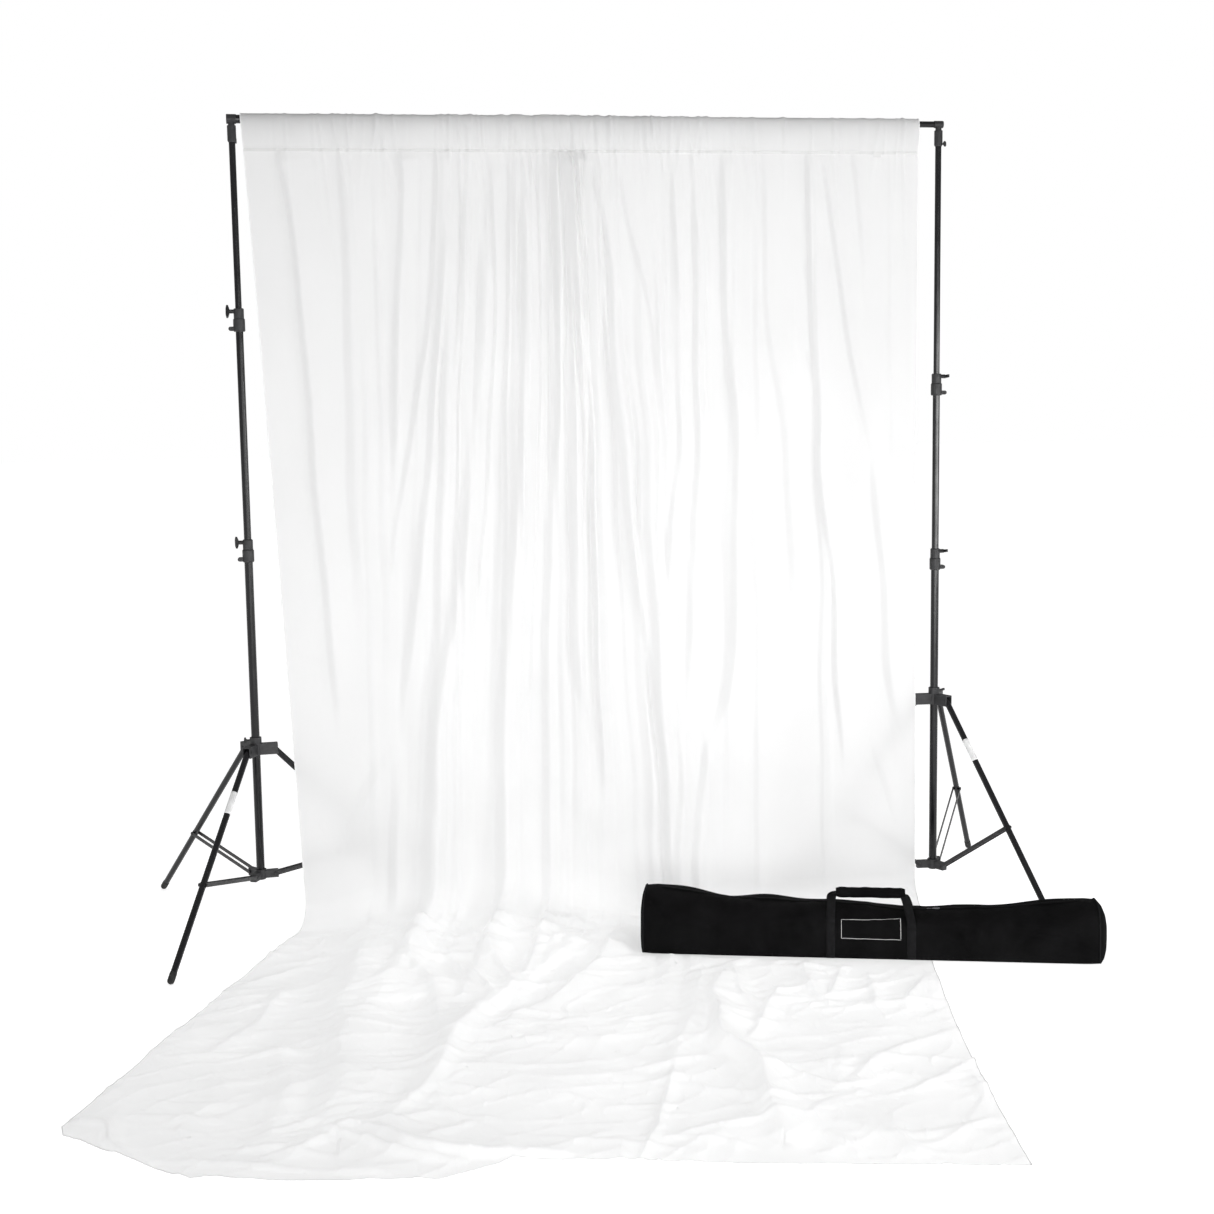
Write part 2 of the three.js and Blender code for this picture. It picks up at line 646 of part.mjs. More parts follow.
// A closed skin through rings of points that all have the same count, with flat ends.
function loft(rings) {
  const count = rings[0].length;
  const index = [];
  for (let r = 0; r + 1 < rings.length; r += 1) {
    for (let i = 0; i < count; i += 1) {
      const [a, b] = [r * count + i, r * count + (i + 1) % count];
      index.push(a, b, b + count, a, b + count, a + count);
    }
  }
  const last = (rings.length - 1) * count;
  for (let i = 1; i + 1 < count; i += 1) {
    index.push(0, i + 1, i, last, last + i, last + i + 1);
  }
  const geometry = new THREE.BufferGeometry();
  geometry.setAttribute('position', new THREE.Float32BufferAttribute(rings.flat(2), 3));
  return geometry.setIndex(index);
}

// The zipped bag: a fabric shell whose only opening is the narrow line of the zip along its top.
function bagBody() {
  const sides = 20;
  const shell = (inset) => solid(loft(BAG_HEIGHTS.map(([station, height]) => {
    const isEnd = Math.abs(station) === BAG.length / 2;
    const along = isEnd ? station - Math.sign(station) * inset : station;
    return Array.from({ length: sides }, (_, i) => [along, ...bagSection(height, 360 * i / sides, -inset)]);
  })));
  const middleStations = BAG_HEIGHTS.slice(1, -1).map(([station]) => station);
  const stations = [-BAG.length * ZIP.reach, ...middleStations, BAG.length * ZIP.reach];
  const zipLine = plate([
    ...stations.map((along) => [along, bagTop(along) - 2 * BAG.wall]),
    ...stations.toReversed().map((along) => [along, bagTop(along) + BAG.wall]),
  ], ZIP.width);
  const slot = solid(zipLine.rotateX(Math.PI / 2).translate(0, ZIP.width / 2, 0));
  return cut(shell(0), shell(BAG.wall), slot);
}

// The outline of a strap of the given thickness laid along a line of [x, y] points.
function ribbon(line, thickness) {
  const side = (sign) => line.map(([x, y], i) => {
    const [before, after] = [line[Math.max(i - 1, 0)], line[Math.min(i + 1, line.length - 1)]];
    const run = Math.hypot(after[0] - before[0], after[1] - before[1]);
    const reach = sign * thickness / 2 / run;
    return [x - (after[1] - before[1]) * reach, y + (after[0] - before[0]) * reach];
  });
  return [...side(1), ...side(-1).reverse()];
}

// A strap across the bag, from a line of [y, z] points, with the middle of its width at x = 0.
function crossStrap(line) {
  const { width, thickness } = WEBBING;
  const strap = plate(ribbon(line, thickness), width);
  return solid(strap.rotateX(Math.PI / 2).rotateZ(Math.PI / 2).translate(-width / 2, 0, 0));
}

// A point on the line that the webbing takes round the bag, just clear of the fabric.
const webbingPoint = (along, angle) => bagSection(bagTop(along), angle, GAP + WEBBING.thickness / 2);

// A webbing band down the bag's front, under its bottom and up its back.
function bagBand(along) {
  const steps = 20;
  const from = 180 - WEBBING.topAngle;
  const sweep = 180 + 2 * WEBBING.topAngle;
  const angles = Array.from({ length: steps + 1 }, (_, i) => from + sweep * i / steps);
  return crossStrap(angles.map((angle) => webbingPoint(along, angle)));
}

// One end of the handle: webbing that rises from the ends of a band to the grip's height, and the
// strap that runs from its peak into the end of the grip, towards the side given by inward.
function handleWeb(along, inward) {
  const [y, bandTop] = webbingPoint(along, WEBBING.topAngle);
  const foot = bandTop + WEBBING.thickness;
  const peak = GRIP.height;
  const rise = [
    [y + 1, foot],
    ...HANDLE_RISE.map(([half, height]) => [half, foot + height]),
    [HANDLE_PEAK_HALF, peak],
  ];
  const web = crossStrap([...rise.map(([side, z]) => [-side, z]), ...rise.toReversed()]);
  const { width, thickness, depth } = GRIP_STRAP;
  const reach = (WEBBING.spacing - GRIP.length) / 2 + depth;
  const strap = box(
    [Math.min(0, inward * reach), -width / 2, peak - thickness / 2],
    [Math.max(0, inward * reach), width / 2, peak + thickness / 2],
  );
  return fuse(web, solid(strap));
}

// The padded wrap round the two straps of the handle, with a pocket in each end for a strap.
function grip() {
  const half = GRIP.length / 2;
  const { radius, endDrop, endLength } = GRIP;
  const { width, thickness, depth } = GRIP_STRAP;
  const wrap = solid(turned([
    [0, -half],
    [radius - endDrop, -half],
    [radius, -half + endLength],
    [radius, half - endLength],
    [radius - endDrop, half],
    [0, half],
  ]).rotateY(Math.PI / 2));
  const pockets = [-1, 1].map((sign) => {
    const [inner, outer] = [sign * (half - depth - GAP), sign * (half + 1)];
    return solid(box(
      [Math.min(inner, outer), -width / 2 - GAP, -thickness / 2 - GAP],
      [Math.max(inner, outer), width / 2 + GAP, thickness / 2 + GAP],
    ));
  });
  return cut(wrap, ...pockets);
}

// The slider and its pull, lying along +X on the zip.
function zipSlider() {
  const { length, width, height } = ZIP_SLIDER;
  const top = height + ZIP_PULL.proud;
  const body = box([-length / 2, -width / 2, 0], [length / 2, width / 2, height]);
  const pull = box(
    [-length / 2 - ZIP_PULL.length, -ZIP_PULL.width / 2, top - ZIP_PULL.thickness],
    [-length / 2 + ZIP_PULL.hold, ZIP_PULL.width / 2, top],
  );
  return fuse(solid(body), solid(pull));
}

function buildBag() {
  const bag = at(new THREE.Group(), ...BAG.centre, MUSLIN.sweepThickness + WEBBING.thickness + 2 * GAP);
  bag.rotation.z = deg(BAG.turn);
  bag.add(
    piece('bag_body', bagBody(), FINISH.bag),
    at(piece('bag_grip', grip(), FINISH.webbing), BAG.handle, 0, GRIP.height),
  );
  [['left', -1], ['right', 1]].forEach(([side, sign]) => {
    const along = BAG.handle + sign * WEBBING.spacing / 2;
    bag.add(
      at(piece(`bag_band_${side}`, bagBand(along), FINISH.webbing), along, 0, 0),
      at(piece(`bag_handle_web_${side}`, handleWeb(along, -sign), FINISH.webbing), along, 0, 0),
    );
  });
  // The slider lies on the rising right-hand part of the zip, tilted with it.
  const [[from, low], [to, high]] = BAG_HEIGHTS.slice(-2);
  const slider = piece('bag_zip_slider', zipSlider(), FINISH.steel);
  slider.rotation.y = -Math.atan2(high - low, to - from);
  bag.add(at(slider, ZIP_SLIDER.along, 0, bagTop(ZIP_SLIDER.along) + GAP));
  return bag;
}

// ---- the whole kit, standing on the floor with the middle of its footprint at the origin ----------
const kit = new THREE.Group();
kit.add(...STANDS.map(buildStand), buildCrossbar(), buildMuslin(), buildBag());
const footprint = new THREE.Box3().setFromObject(kit, true);
const middle = footprint.getCenter(new THREE.Vector3());
kit.position.set(-middle.x, -middle.y, -footprint.min.z);
kit.updateMatrixWorld(true);

export default kit;
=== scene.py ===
"""Looks for the backdrop kit: two stands, a telescopic crossbar, a gathered muslin and a carry bag.

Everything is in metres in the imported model's frame. KIT is the point on the floor midway between the two
stands. The cloth, the bag, the camera and the lights are placed from there, with +X to the right stand and
-Y to the front.
"""
import json
import math

import bmesh
import bpy
import numpy as np
from mathutils import Matrix, Vector


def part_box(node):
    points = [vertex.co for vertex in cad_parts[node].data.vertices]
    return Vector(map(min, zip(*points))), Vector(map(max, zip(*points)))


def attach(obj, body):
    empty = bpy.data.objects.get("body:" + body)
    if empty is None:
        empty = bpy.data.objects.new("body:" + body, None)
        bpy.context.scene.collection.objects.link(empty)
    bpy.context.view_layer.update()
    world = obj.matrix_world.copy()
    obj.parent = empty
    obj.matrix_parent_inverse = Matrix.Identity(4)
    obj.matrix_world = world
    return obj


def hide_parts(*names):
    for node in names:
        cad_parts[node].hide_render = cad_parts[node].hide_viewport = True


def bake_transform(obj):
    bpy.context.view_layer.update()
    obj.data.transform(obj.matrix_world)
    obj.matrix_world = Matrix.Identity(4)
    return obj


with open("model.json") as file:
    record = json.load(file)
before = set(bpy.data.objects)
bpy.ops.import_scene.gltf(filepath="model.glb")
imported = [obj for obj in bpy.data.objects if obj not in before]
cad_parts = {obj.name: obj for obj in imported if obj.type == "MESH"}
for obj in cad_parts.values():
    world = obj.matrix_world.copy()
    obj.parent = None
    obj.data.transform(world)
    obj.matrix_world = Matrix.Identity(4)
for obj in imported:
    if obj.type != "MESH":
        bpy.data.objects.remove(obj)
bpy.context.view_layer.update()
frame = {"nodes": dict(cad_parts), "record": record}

# ---- sizes -----------------------------------------------------------------------------------------
FOCAL_MM, SENSOR_MM = 52.95, 36.0
CAMERA_OFFSET = Vector((-0.8348, -5.4933, 1.6468))
CAMERA_YAW, CAMERA_PITCH, CAMERA_ROLL = (math.radians(a) for a in (8.777, 7.080, -0.846))
SURROUND_SEEN, SURROUND_LIGHT = 1.0, 0.44   # the white surround as the camera sees it, and as a light
FLOOR_REACH, FLOOR_DROP = 40, 0.0006
FLOOR_GLOW = 0.62                   # the studio floor's own light, part of which passes through the cloth

BAR_HEIGHT = 2.440
CLOTH_TOP_LEFT, CLOTH_TOP_RIGHT = -1.057, 1.016
CLOTH_FOOT_LEFT, CLOTH_FOOT_RIGHT = -0.947, 1.012
CLOTH_FOOT_Y = -0.046
CLOTH_CUT = (3.05, 4.57)            # the ordinary 10 by 15 ft cut
CLOTH_WIDTH = CLOTH_TOP_RIGHT - CLOTH_TOP_LEFT
CLOTH_COLUMNS, DROP_ROWS, TURN_ROWS, FLOOR_ROWS = 640, 112, 26, 230
CLOTH_TRIANGLES = 190000
POCKET_DEPTH = 0.092
POCKET_RADIUS = 0.0168
POCKET_BACK = [(0.0014, 0.0), (0.006, 0.020), (0.0125, 0.055)]  # (y, height over the seam) behind the bar
FRONT_GAP = 0.0016                  # how far in front of the bar's middle plane the cloth hangs at its seam
FLOOR_LIFT = 0.0012                 # the cloth's own thickness off the floor
RUNNING_FOLD = 0.050                # the tallest fold that runs out over the floor
RUNNING_REACH = 0.38                # how far out such a fold has sunk to about a third
RIGHT_EDGE_BOW = 0.045              # how far the right edge on the floor bows in
HEM_RADIUS = 0.0014
SEAM_WIDTH, BAND_THICKNESS = 0.009, 0.0012
STITCH_PITCH, STITCH_SIZE = 0.0045, (0.0032, 0.0008, 0.0008)
TAG_ACROSS, TAG_SIZE = 0.935, (0.024, 0.0006, 0.014)

# Small folds drawn at random: how many of each, and where across the cloth they are gathered.
PUCKERS, TIGHT_GATHERS, FINE_FOLDS, WRINKLES = 170, 26, 170, 115
GATHER_MIDDLE, GATHER_SPREAD = 0.45, 0.105
FOLD_PLACES = (0.02, 0.98)
TALLEST_PUCKER = 0.009
LONG_FOLD_RISE = (-0.05, 0.14)      # a long fold rises between these depths from its first point
LONG_FOLD_END = 0.35                # and dies away over this length above its last point
SLACK_MIDDLE, SLACK_WIDTH = 0.30, 0.24          # where across its foot the drop is slack
TURN_TIGHT, TURN_EXTRA, TURN_WIDTH = 0.055, 0.150, 0.21  # the turn's radius at the sides; more where slack
PUDDLE_MIDDLE, PUDDLE_SIZE = (-0.36, -0.24), (0.50, 0.21)
FLOOR_DRIFT, FLOOR_FLATNESS = 0.012, 0.0035     # how far creases wander; what is taken off their height
BAG_PRESS_MARGIN, BAG_PRESS_FADE = 0.01, 0.055

# The front edge on the floor: (share across, x, y).
CLOTH_FRONT = [
    (0.00, -1.480, -1.488), (0.03, -1.470, -1.540), (0.14, -1.172, -1.827),
    (0.37, -0.655, -1.915), (0.44, -0.500, -1.850), (1.00, 0.580, -2.085),
]
# Long folds of the hanging cloth: height, width of the steep side and of the shallow side in metres, then
# how far across the cloth (0 to 1) the fold lies at each depth below the bar in metres.
DROP_FOLDS = [
    (0.022, 0.016, 0.060, [(0.035, 0.00), (0.050, 0.15), (0.060, 0.40), (0.064, 1.10), (0.072, 1.90)]),
    (0.018, 0.024, 0.070, [(0.130, 0.10), (0.135, 0.30), (0.120, 0.90), (0.112, 1.60)]),
    (0.022, 0.016, 0.070, [(0.200, 0.00), (0.220, 0.12), (0.215, 0.30), (0.198, 0.60), (0.170, 1.20)]),
    (0.014, 0.012, 0.045, [
        (0.270, 0.00), (0.272, 0.13), (0.264, 0.30), (0.245, 0.60), (0.190, 1.10), (0.150, 1.50)]),
    (0.022, 0.016, 0.040, [(0.285, 0.25), (0.247, 0.80), (0.220, 1.20), (0.190, 1.50), (0.160, 1.92)]),
    (0.016, 0.008, 0.030, [(0.305, 0.10), (0.300, 0.40), (0.270, 0.90)]),
    (0.030, 0.022, 0.075, [
        (0.330, 0.35), (0.308, 0.88), (0.270, 1.35), (0.225, 1.72), (0.190, 2.15), (0.180, 2.44)]),
    (0.014, 0.008, 0.028, [(0.352, 0.10), (0.345, 0.60), (0.320, 1.10), (0.285, 1.60)]),
    (0.026, 0.018, 0.060, [(0.395, 0.20), (0.383, 0.80), (0.355, 1.20), (0.320, 1.80), (0.300, 2.44)]),
    (0.012, 0.007, 0.022, [(0.420, 0.10), (0.410, 0.70), (0.390, 1.20), (0.360, 2.00)]),
    (0.020, 0.012, 0.035, [(0.440, 0.08), (0.432, 0.80), (0.405, 1.30), (0.380, 2.44)]),
    (0.030, 0.018, 0.030, [(0.462, 0.06), (0.460, 0.40), (0.446, 1.00), (0.440, 1.60), (0.465, 1.90)]),
    (0.016, 0.007, 0.018, [(0.482, 0.06), (0.480, 0.60), (0.475, 1.30), (0.480, 2.20)]),
    (0.024, 0.014, 0.060, [
        (0.500, 0.10), (0.520, 0.42), (0.522, 0.90), (0.550, 1.48), (0.570, 1.80), (0.582, 2.44)]),
    (0.014, 0.012, 0.050, [(0.540, 0.10), (0.550, 0.30), (0.580, 0.60), (0.585, 1.00)]),
    (0.018, 0.012, 0.050, [(0.620, 0.10), (0.620, 0.80), (0.605, 1.20), (0.582, 1.60)]),
    (0.016, 0.014, 0.040, [(0.655, 0.20), (0.645, 1.00), (0.630, 1.45), (0.605, 2.00), (0.590, 2.44)]),
    (0.022, 0.014, 0.055, [
        (0.697, 0.08), (0.695, 0.55), (0.708, 0.95), (0.700, 1.40), (0.685, 1.75), (0.640, 2.00),
        (0.620, 2.44)]),
    (0.012, 0.016, 0.070, [(0.760, 0.08), (0.762, 0.60), (0.790, 1.05), (0.790, 1.60)]),
    (0.018, 0.010, 0.040, [(0.826, 0.05), (0.830, 0.50), (0.838, 1.00), (0.860, 1.50), (0.880, 2.10)]),
    (0.016, 0.012, 0.050, [(0.850, 0.10), (0.874, 0.45), (0.905, 0.85), (0.940, 1.08)]),
    (0.012, 0.014, 0.050, [(0.892, 0.00), (0.906, 0.25), (0.920, 0.60)]),
    (0.016, 0.016, 0.035, [(0.930, 1.05), (0.945, 1.45), (0.960, 1.75), (0.985, 2.00)]),
    (0.010, 0.012, 0.030, [(0.925, 1.95), (0.950, 2.10), (0.985, 2.30)]),
    (0.020, 0.020, 0.050, [(0.160, 1.88), (0.120, 1.98), (0.085, 2.12), (0.060, 2.25)]),
    (0.016, 0.016, 0.050, [(0.155, 1.90), (0.150, 2.05), (0.130, 2.44)]),
]
# Where folds drift by the time they reach the floor: place across at the top, and the drift.
FAN = [(0.0, 0.0), (0.10, 0.0), (0.30, -0.11), (0.42, -0.07), (0.47, -0.01), (0.52, 0.05), (0.60, 0.0),
       (0.70, -0.05), (0.80, 0.0), (0.90, 0.04), (1.0, 0.0)]
# Creases of the cloth on the floor, seen from the front: height, width to the left and to the right in
# metres, then their points from the back to the front.
FLOOR_CREASES = [
    (0.034, 0.050, 0.110, [(-0.76, -0.20), (-0.79, -0.45), (-0.83, -0.80), (-0.86, -1.35), (-0.87, -1.60)]),
    (0.018, 0.016, 0.050, [(-0.66, -0.30), (-0.63, -0.50), (-0.60, -0.80), (-0.58, -1.08)]),
    (0.024, 0.040, 0.020, [(-0.32, -0.62), (-0.42, -0.84), (-0.56, -1.12), (-0.63, -1.32), (-0.76, -1.62)]),
    (0.016, 0.012, 0.030, [(-0.52, -0.42), (-0.51, -0.63), (-0.45, -0.82), (-0.52, -1.02)]),
    (0.018, 0.014, 0.030, [(-0.44, -0.30), (-0.42, -0.53), (-0.38, -0.74), (-0.46, -0.92)]),
    (0.016, 0.014, 0.026, [(-0.30, -0.45), (-0.34, -0.61), (-0.42, -0.76)]),
    (0.022, 0.016, 0.070, [(0.00, -0.28), (-0.06, -0.42), (-0.17, -0.72), (-0.40, -0.98)]),
    (0.018, 0.060, 0.018, [(-0.14, -0.40), (-0.28, -0.60), (-0.36, -0.80)]),
    (0.012, 0.040, 0.050, [(-0.40, -0.97), (-0.27, -1.17), (-0.18, -1.32), (-0.05, -1.38)]),
    (0.022, 0.016, 0.030, [(-0.92, -1.56), (-0.78, -1.68), (-0.70, -1.76), (-0.59, -1.80), (-0.40, -1.85)]),
    (0.016, 0.012, 0.024, [(-0.90, -1.60), (-0.86, -1.66), (-0.76, -1.76), (-0.62, -1.83)]),
    (0.014, 0.013, 0.020, [(-0.86, -1.47), (-0.80, -1.40), (-0.77, -1.28)]),
    (0.010, 0.012, 0.018, [(-0.76, -1.78), (-0.66, -1.74), (-0.56, -1.66)]),
    (0.018, 0.008, 0.026, [(-1.47, -1.46), (-1.39, -1.52), (-1.35, -1.62), (-1.28, -1.72)]),
    (0.009, 0.008, 0.020, [(-1.27, -1.72), (-1.12, -1.78), (-0.94, -1.83), (-0.75, -1.86)]),
    (0.022, 0.024, 0.050, [(0.15, -0.76), (0.07, -1.03), (-0.03, -1.36)]),
    (0.010, 0.007, 0.016, [(-0.03, -1.36), (-0.13, -1.62), (-0.24, -1.92)]),
    (0.044, 0.024, 0.050, [(0.19, -0.80), (0.12, -1.03), (0.10, -1.26), (0.14, -1.46), (0.10, -1.85)]),
    (0.016, 0.012, 0.024, [(0.34, -0.90), (0.24, -1.08), (0.17, -1.25), (0.12, -1.38)]),
    (0.014, 0.012, 0.026, [(0.24, -0.74), (0.22, -0.94), (0.25, -1.10)]),
    (0.010, 0.010, 0.024, [(0.46, -0.74), (0.42, -0.92), (0.43, -1.06)]),
    (0.010, 0.010, 0.022, [(0.56, -0.78), (0.49, -0.90), (0.44, -1.00)]),
    (0.010, 0.010, 0.022, [(0.62, -0.82), (0.56, -1.05), (0.57, -1.16)]),
    (0.008, 0.008, 0.020, [(0.74, -0.90), (0.66, -1.02), (0.63, -1.12)]),
    (0.009, 0.012, 0.024, [(0.69, -1.30), (0.50, -1.41), (0.32, -1.60)]),
    (0.009, 0.010, 0.022, [(0.67, -1.49), (0.56, -1.58), (0.46, -1.65)]),
    (0.007, 0.010, 0.020, [(0.63, -1.58), (0.61, -1.71), (0.55, -1.82)]),
    (0.007, 0.010, 0.018, [(0.33, -1.65), (0.24, -1.70), (0.16, -1.78)]),
    (0.007, 0.010, 0.018, [(0.18, -1.84), (0.22, -1.92), (0.24, -2.00)]),
    (0.006, 0.010, 0.018, [(0.34, -1.86), (0.38, -1.98)]),
    (0.010, 0.016, 0.030, [(-1.02, -0.66), (-1.06, -0.90), (-1.18, -1.08)]),
    (0.012, 0.030, 0.040, [(-1.00, -1.10), (-0.98, -1.40), (-1.02, -1.70)]),
]

BAG_LENGTH, BAG_DEPTH, BAG_TURN = 1.305, 0.190, math.radians(-15.8)
BAG_CENTRE = (0.6769, -0.6018)
BAG_LIFT = 0.0036
CANVAS_LOWEST, BAND_LOWEST, PIPING_LOWEST = 0.0014, 0.0030, 0.0034  # heights over the floor
BAG_ROUND_TOP, BAG_ROUND_BOTTOM = 2.6, 8.0      # powers of the section's rounded rectangle
END_TUCK, END_TUCK_LENGTH = 0.055, 0.045        # how much smaller the outline gets at its ends, over what
# The bag's height along its length: it sags under the handle and fills out at both ends.
BAG_HEIGHTS = [
    (-0.6525, 0.172), (-0.560, 0.164), (-0.400, 0.144), (-0.250, 0.137), (-0.150, 0.134), (0.000, 0.130),
    (0.100, 0.114), (0.170, 0.115), (0.250, 0.124), (0.350, 0.126), (0.480, 0.138), (0.580, 0.151),
    (0.6525, 0.157),
]
# The end panels: share of the end's outline left, and share of the panel's bulge reached there.
BAG_END_PANEL = [(0.85, 0.40), (0.6, 0.73), (0.3, 0.93), (0.05, 1.0)]
BAG_END_BULGE = {-1: 0.011, 1: 0.027}
BAG_MEAN_HEIGHT = 0.140             # for what needn't follow the changing height
# Ridges (+) and dents (-) of the front panel: height, half-width, then (along, up) points in metres.
BAG_CREASES = [
    (0.007, 0.013, [(-0.130, 0.126), (-0.200, 0.110), (-0.280, 0.094)]),
    (-0.006, 0.016, [(-0.150, 0.100), (-0.220, 0.086), (-0.300, 0.066)]),
    (-0.008, 0.012, [(-0.648, 0.136), (-0.620, 0.112), (-0.585, 0.084)]),
    (0.006, 0.020, [(-0.600, 0.100), (-0.500, 0.084), (-0.400, 0.092)]),
    (-0.006, 0.022, [(-0.480, 0.016), (-0.450, 0.060), (-0.470, 0.100)]),
    (-0.005, 0.020, [(-0.330, 0.014), (-0.310, 0.044), (-0.340, 0.080)]),
    (0.007, 0.016, [(0.150, 0.126), (0.210, 0.116), (0.270, 0.128)]),
    (-0.008, 0.020, [(0.160, 0.100), (0.240, 0.072), (0.310, 0.030)]),
    (0.006, 0.024, [(0.330, 0.120), (0.380, 0.070), (0.360, 0.020)]),
    (-0.006, 0.015, [(0.400, 0.020), (0.440, 0.060), (0.500, 0.100)]),
    (0.008, 0.017, [(0.440, 0.104), (0.550, 0.088), (0.635, 0.056)]),
    (-0.010, 0.012, [(0.450, 0.080), (0.540, 0.062), (0.640, 0.030)]),
]
PIPING_RADIUS = 0.0022
HANDLE_ALONG, WEB_SPACING = 0.008, 0.230
WEB_WIDTH, WEB_THICKNESS = 0.025, 0.0016
BAND_TURN = (math.radians(150), math.radians(390))      # round the bag's front, bottom and back
WEB_FOOT = {-1: math.radians(151), 1: math.radians(29)}  # where the front and back webs leave the bag
HANDLE_LEAN = {-1: 0.004, 1: 0.016}  # how far each end's webs lean in on their way up to the grip
GRIP_LENGTH, GRIP_RADIUS, GRIP_HEIGHT = 0.200, 0.0165, 0.163
GRIP_PINCH, GRIP_LAP = 0.16, 0.0014
PATCH_ALONG, PATCH_UP = (-0.076, 0.092), (0.056, 0.106)
PATCH_OFFSET, PATCH_THICKNESS, PATCH_BORDER = 0.0011, 0.0009, 0.0011
ZIP_REACH = 0.46                    # to each side of the bag's middle, as a share of its length
TAPE_THICKNESS, TAPE_OFFSET = 0.0009, 0.0006
TOOTH_PITCH, TOOTH_SIZE, TOOTH_OFFSET = 0.0032, (0.0017, 0.0032, 0.0014), 0.0016
TOOTH_STAGGER = 0.0011
BAG_ALONG = np.array([math.cos(BAG_TURN), math.sin(BAG_TURN), 0.0])
BAG_ACROSS = np.array([-math.sin(BAG_TURN), math.cos(BAG_TURN), 0.0])

LABEL_ALONG, LABEL_RADIUS = (0.150, 0.225), 0.00985  # from the leg's top; just outside its paint
CLOTH_CORNER, CAD_CORNER = math.radians(50), math.radians(34)   # sharper edges aren't shaded smooth
WAVE_BANDS = 3.2                    # bands in one unit of a wave texture of scale 1
RIPPLE_WAVES, RIPPLE_SPREAD = 9, (0.7, 1.5)     # waves in a ripple; their lengths as shares of its own


def middle(node):
    """The middle of a CAD node's box."""
    low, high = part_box(node)
    return (Vector(low) + Vector(high)) / 2


LEFT_AXIS, RIGHT_AXIS = middle("left_lower_tube"), middle("right_lower_tube")
KIT = Vector(((LEFT_AXIS.x + RIGHT_AXIS.x) / 2, (LEFT_AXIS.y + RIGHT_AXIS.y) / 2, 0.0))


# ---- shader helpers --------------------------------------------------------------------------------
class Shader:
    """A Principled material that nodes are added to one line at a time."""

    def __init__(self, name, color, roughness, **inputs):
        self.material = bpy.data.materials.new(name)
        self.material.use_nodes = True
        self.tree = self.material.node_tree
        self.surface = self.tree.nodes["Principled BSDF"]
        self.surface.inputs["Base Color"].default_value = (*color, 1)
        self.surface.inputs["Roughness"].default_value = roughness
        for key, value in inputs.items():
            self.surface.inputs[key.replace("_", " ")].default_value = value

    def add(self, kind, **values):
        node = self.tree.nodes.new(kind)
        for key, value in values.items():
            if key in node.inputs:
                node.inputs[key].default_value = value
            else:
                setattr(node, key, value)
        return node

    def link(self, out, into):
        self.tree.links.new(out, into)

    def coordinates(self, kind="Object", stretch=(1, 1, 1)):
        mapping = self.add("ShaderNodeMapping", Scale=stretch)
        self.link(self.add("ShaderNodeTexCoord").outputs[kind], mapping.inputs["Vector"])
        return mapping.outputs["Vector"]

    def noise(self, vector, scale, detail=3.0, roughness=0.5):
        node = self.add("ShaderNodeTexNoise", Scale=scale, Detail=detail, Roughness=roughness)
        self.link(vector, node.inputs["Vector"])
        return node.outputs["Fac"]

    def wave(self, vector, scale, direction):
        node = self.add("ShaderNodeTexWave", Scale=scale, bands_direction=direction)
        self.link(vector, node.inputs["Vector"])
        return node.outputs["Fac"]

    def math(self, operation, a, b):
        node = self.add("ShaderNodeMath", operation=operation)
        for socket, value in zip(node.inputs, (a, b)):
            if isinstance(value, (int, float)):
                socket.default_value = value
            else:
                self.link(value, socket)
        return node.outputs["Value"]

    def bump(self, height, distance, strength=1.0):
        node = self.add("ShaderNodeBump", Strength=strength, Distance=distance)
        self.link(height, node.inputs["Height"])
        before = self.surface.inputs["Normal"].links
        if before:
            self.link(before[0].from_socket, node.inputs["Normal"])
        self.link(node.outputs["Normal"], self.surface.inputs["Normal"])

    def let_light_through(self, share, color=(0.95, 0.95, 0.95, 1)):
        """Mixes in light that falls on the far side of a thin cloth."""
        through = self.add("ShaderNodeBsdfTranslucent", Color=color)
        mix = self.add("ShaderNodeMixShader", Fac=share)
        self.link(self.surface.outputs["BSDF"], mix.inputs[1])
        self.link(through.outputs["BSDF"], mix.inputs[2])
        self.link(mix.outputs["Shader"], self.tree.nodes["Material Output"].inputs["Surface"])

    def ramp(self, factor, low, high, into, start=0.3, stop=0.7):
        """Varies an input between two values as a factor goes from start to stop."""
        node = self.add("ShaderNodeValToRGB")
        self.link(factor, node.inputs["Fac"])
        for element, place, value in zip(node.color_ramp.elements, (start, stop), (low, high)):
            element.position = place
            element.color = (*value, 1) if isinstance(value, tuple) else (value, value, value, 1)
        self.link(node.outputs["Color"], self.surface.inputs[into])


# ---- materials -------------------------------------------------------------------------------------
def enamel():
    """Black satin enamel: faint draw lines along the upright tubes, and the haze of handling."""
    s = Shader("tube_enamel", (0.005, 0.005, 0.006), 0.22, Specular_IOR_Level=0.36)
    place = s.coordinates()
    s.ramp(s.noise(place, 14, 4), 0.13, 0.26, "Roughness")
    s.ramp(s.noise(place, 5, 2), (0.003, 0.003, 0.004), (0.007, 0.007, 0.008), "Base Color")
    s.bump(s.noise(s.coordinates(stretch=(900, 900, 6)), 1, 2), 0.00006)
    return s.material


def casting():
    """Moulded dark grey plastic with a fine spark-eroded grain."""
    s = Shader("moulded_plastic", (0.018, 0.018, 0.019), 0.5, Specular_IOR_Level=0.45)
    place = s.coordinates()
    s.ramp(s.noise(place, 60, 3), (0.014, 0.014, 0.015), (0.026, 0.026, 0.028), "Base Color")
    s.ramp(s.noise(place, 90, 3), 0.42, 0.60, "Roughness")
    s.bump(s.noise(place, 1400, 2), 0.00008)
    return s.material


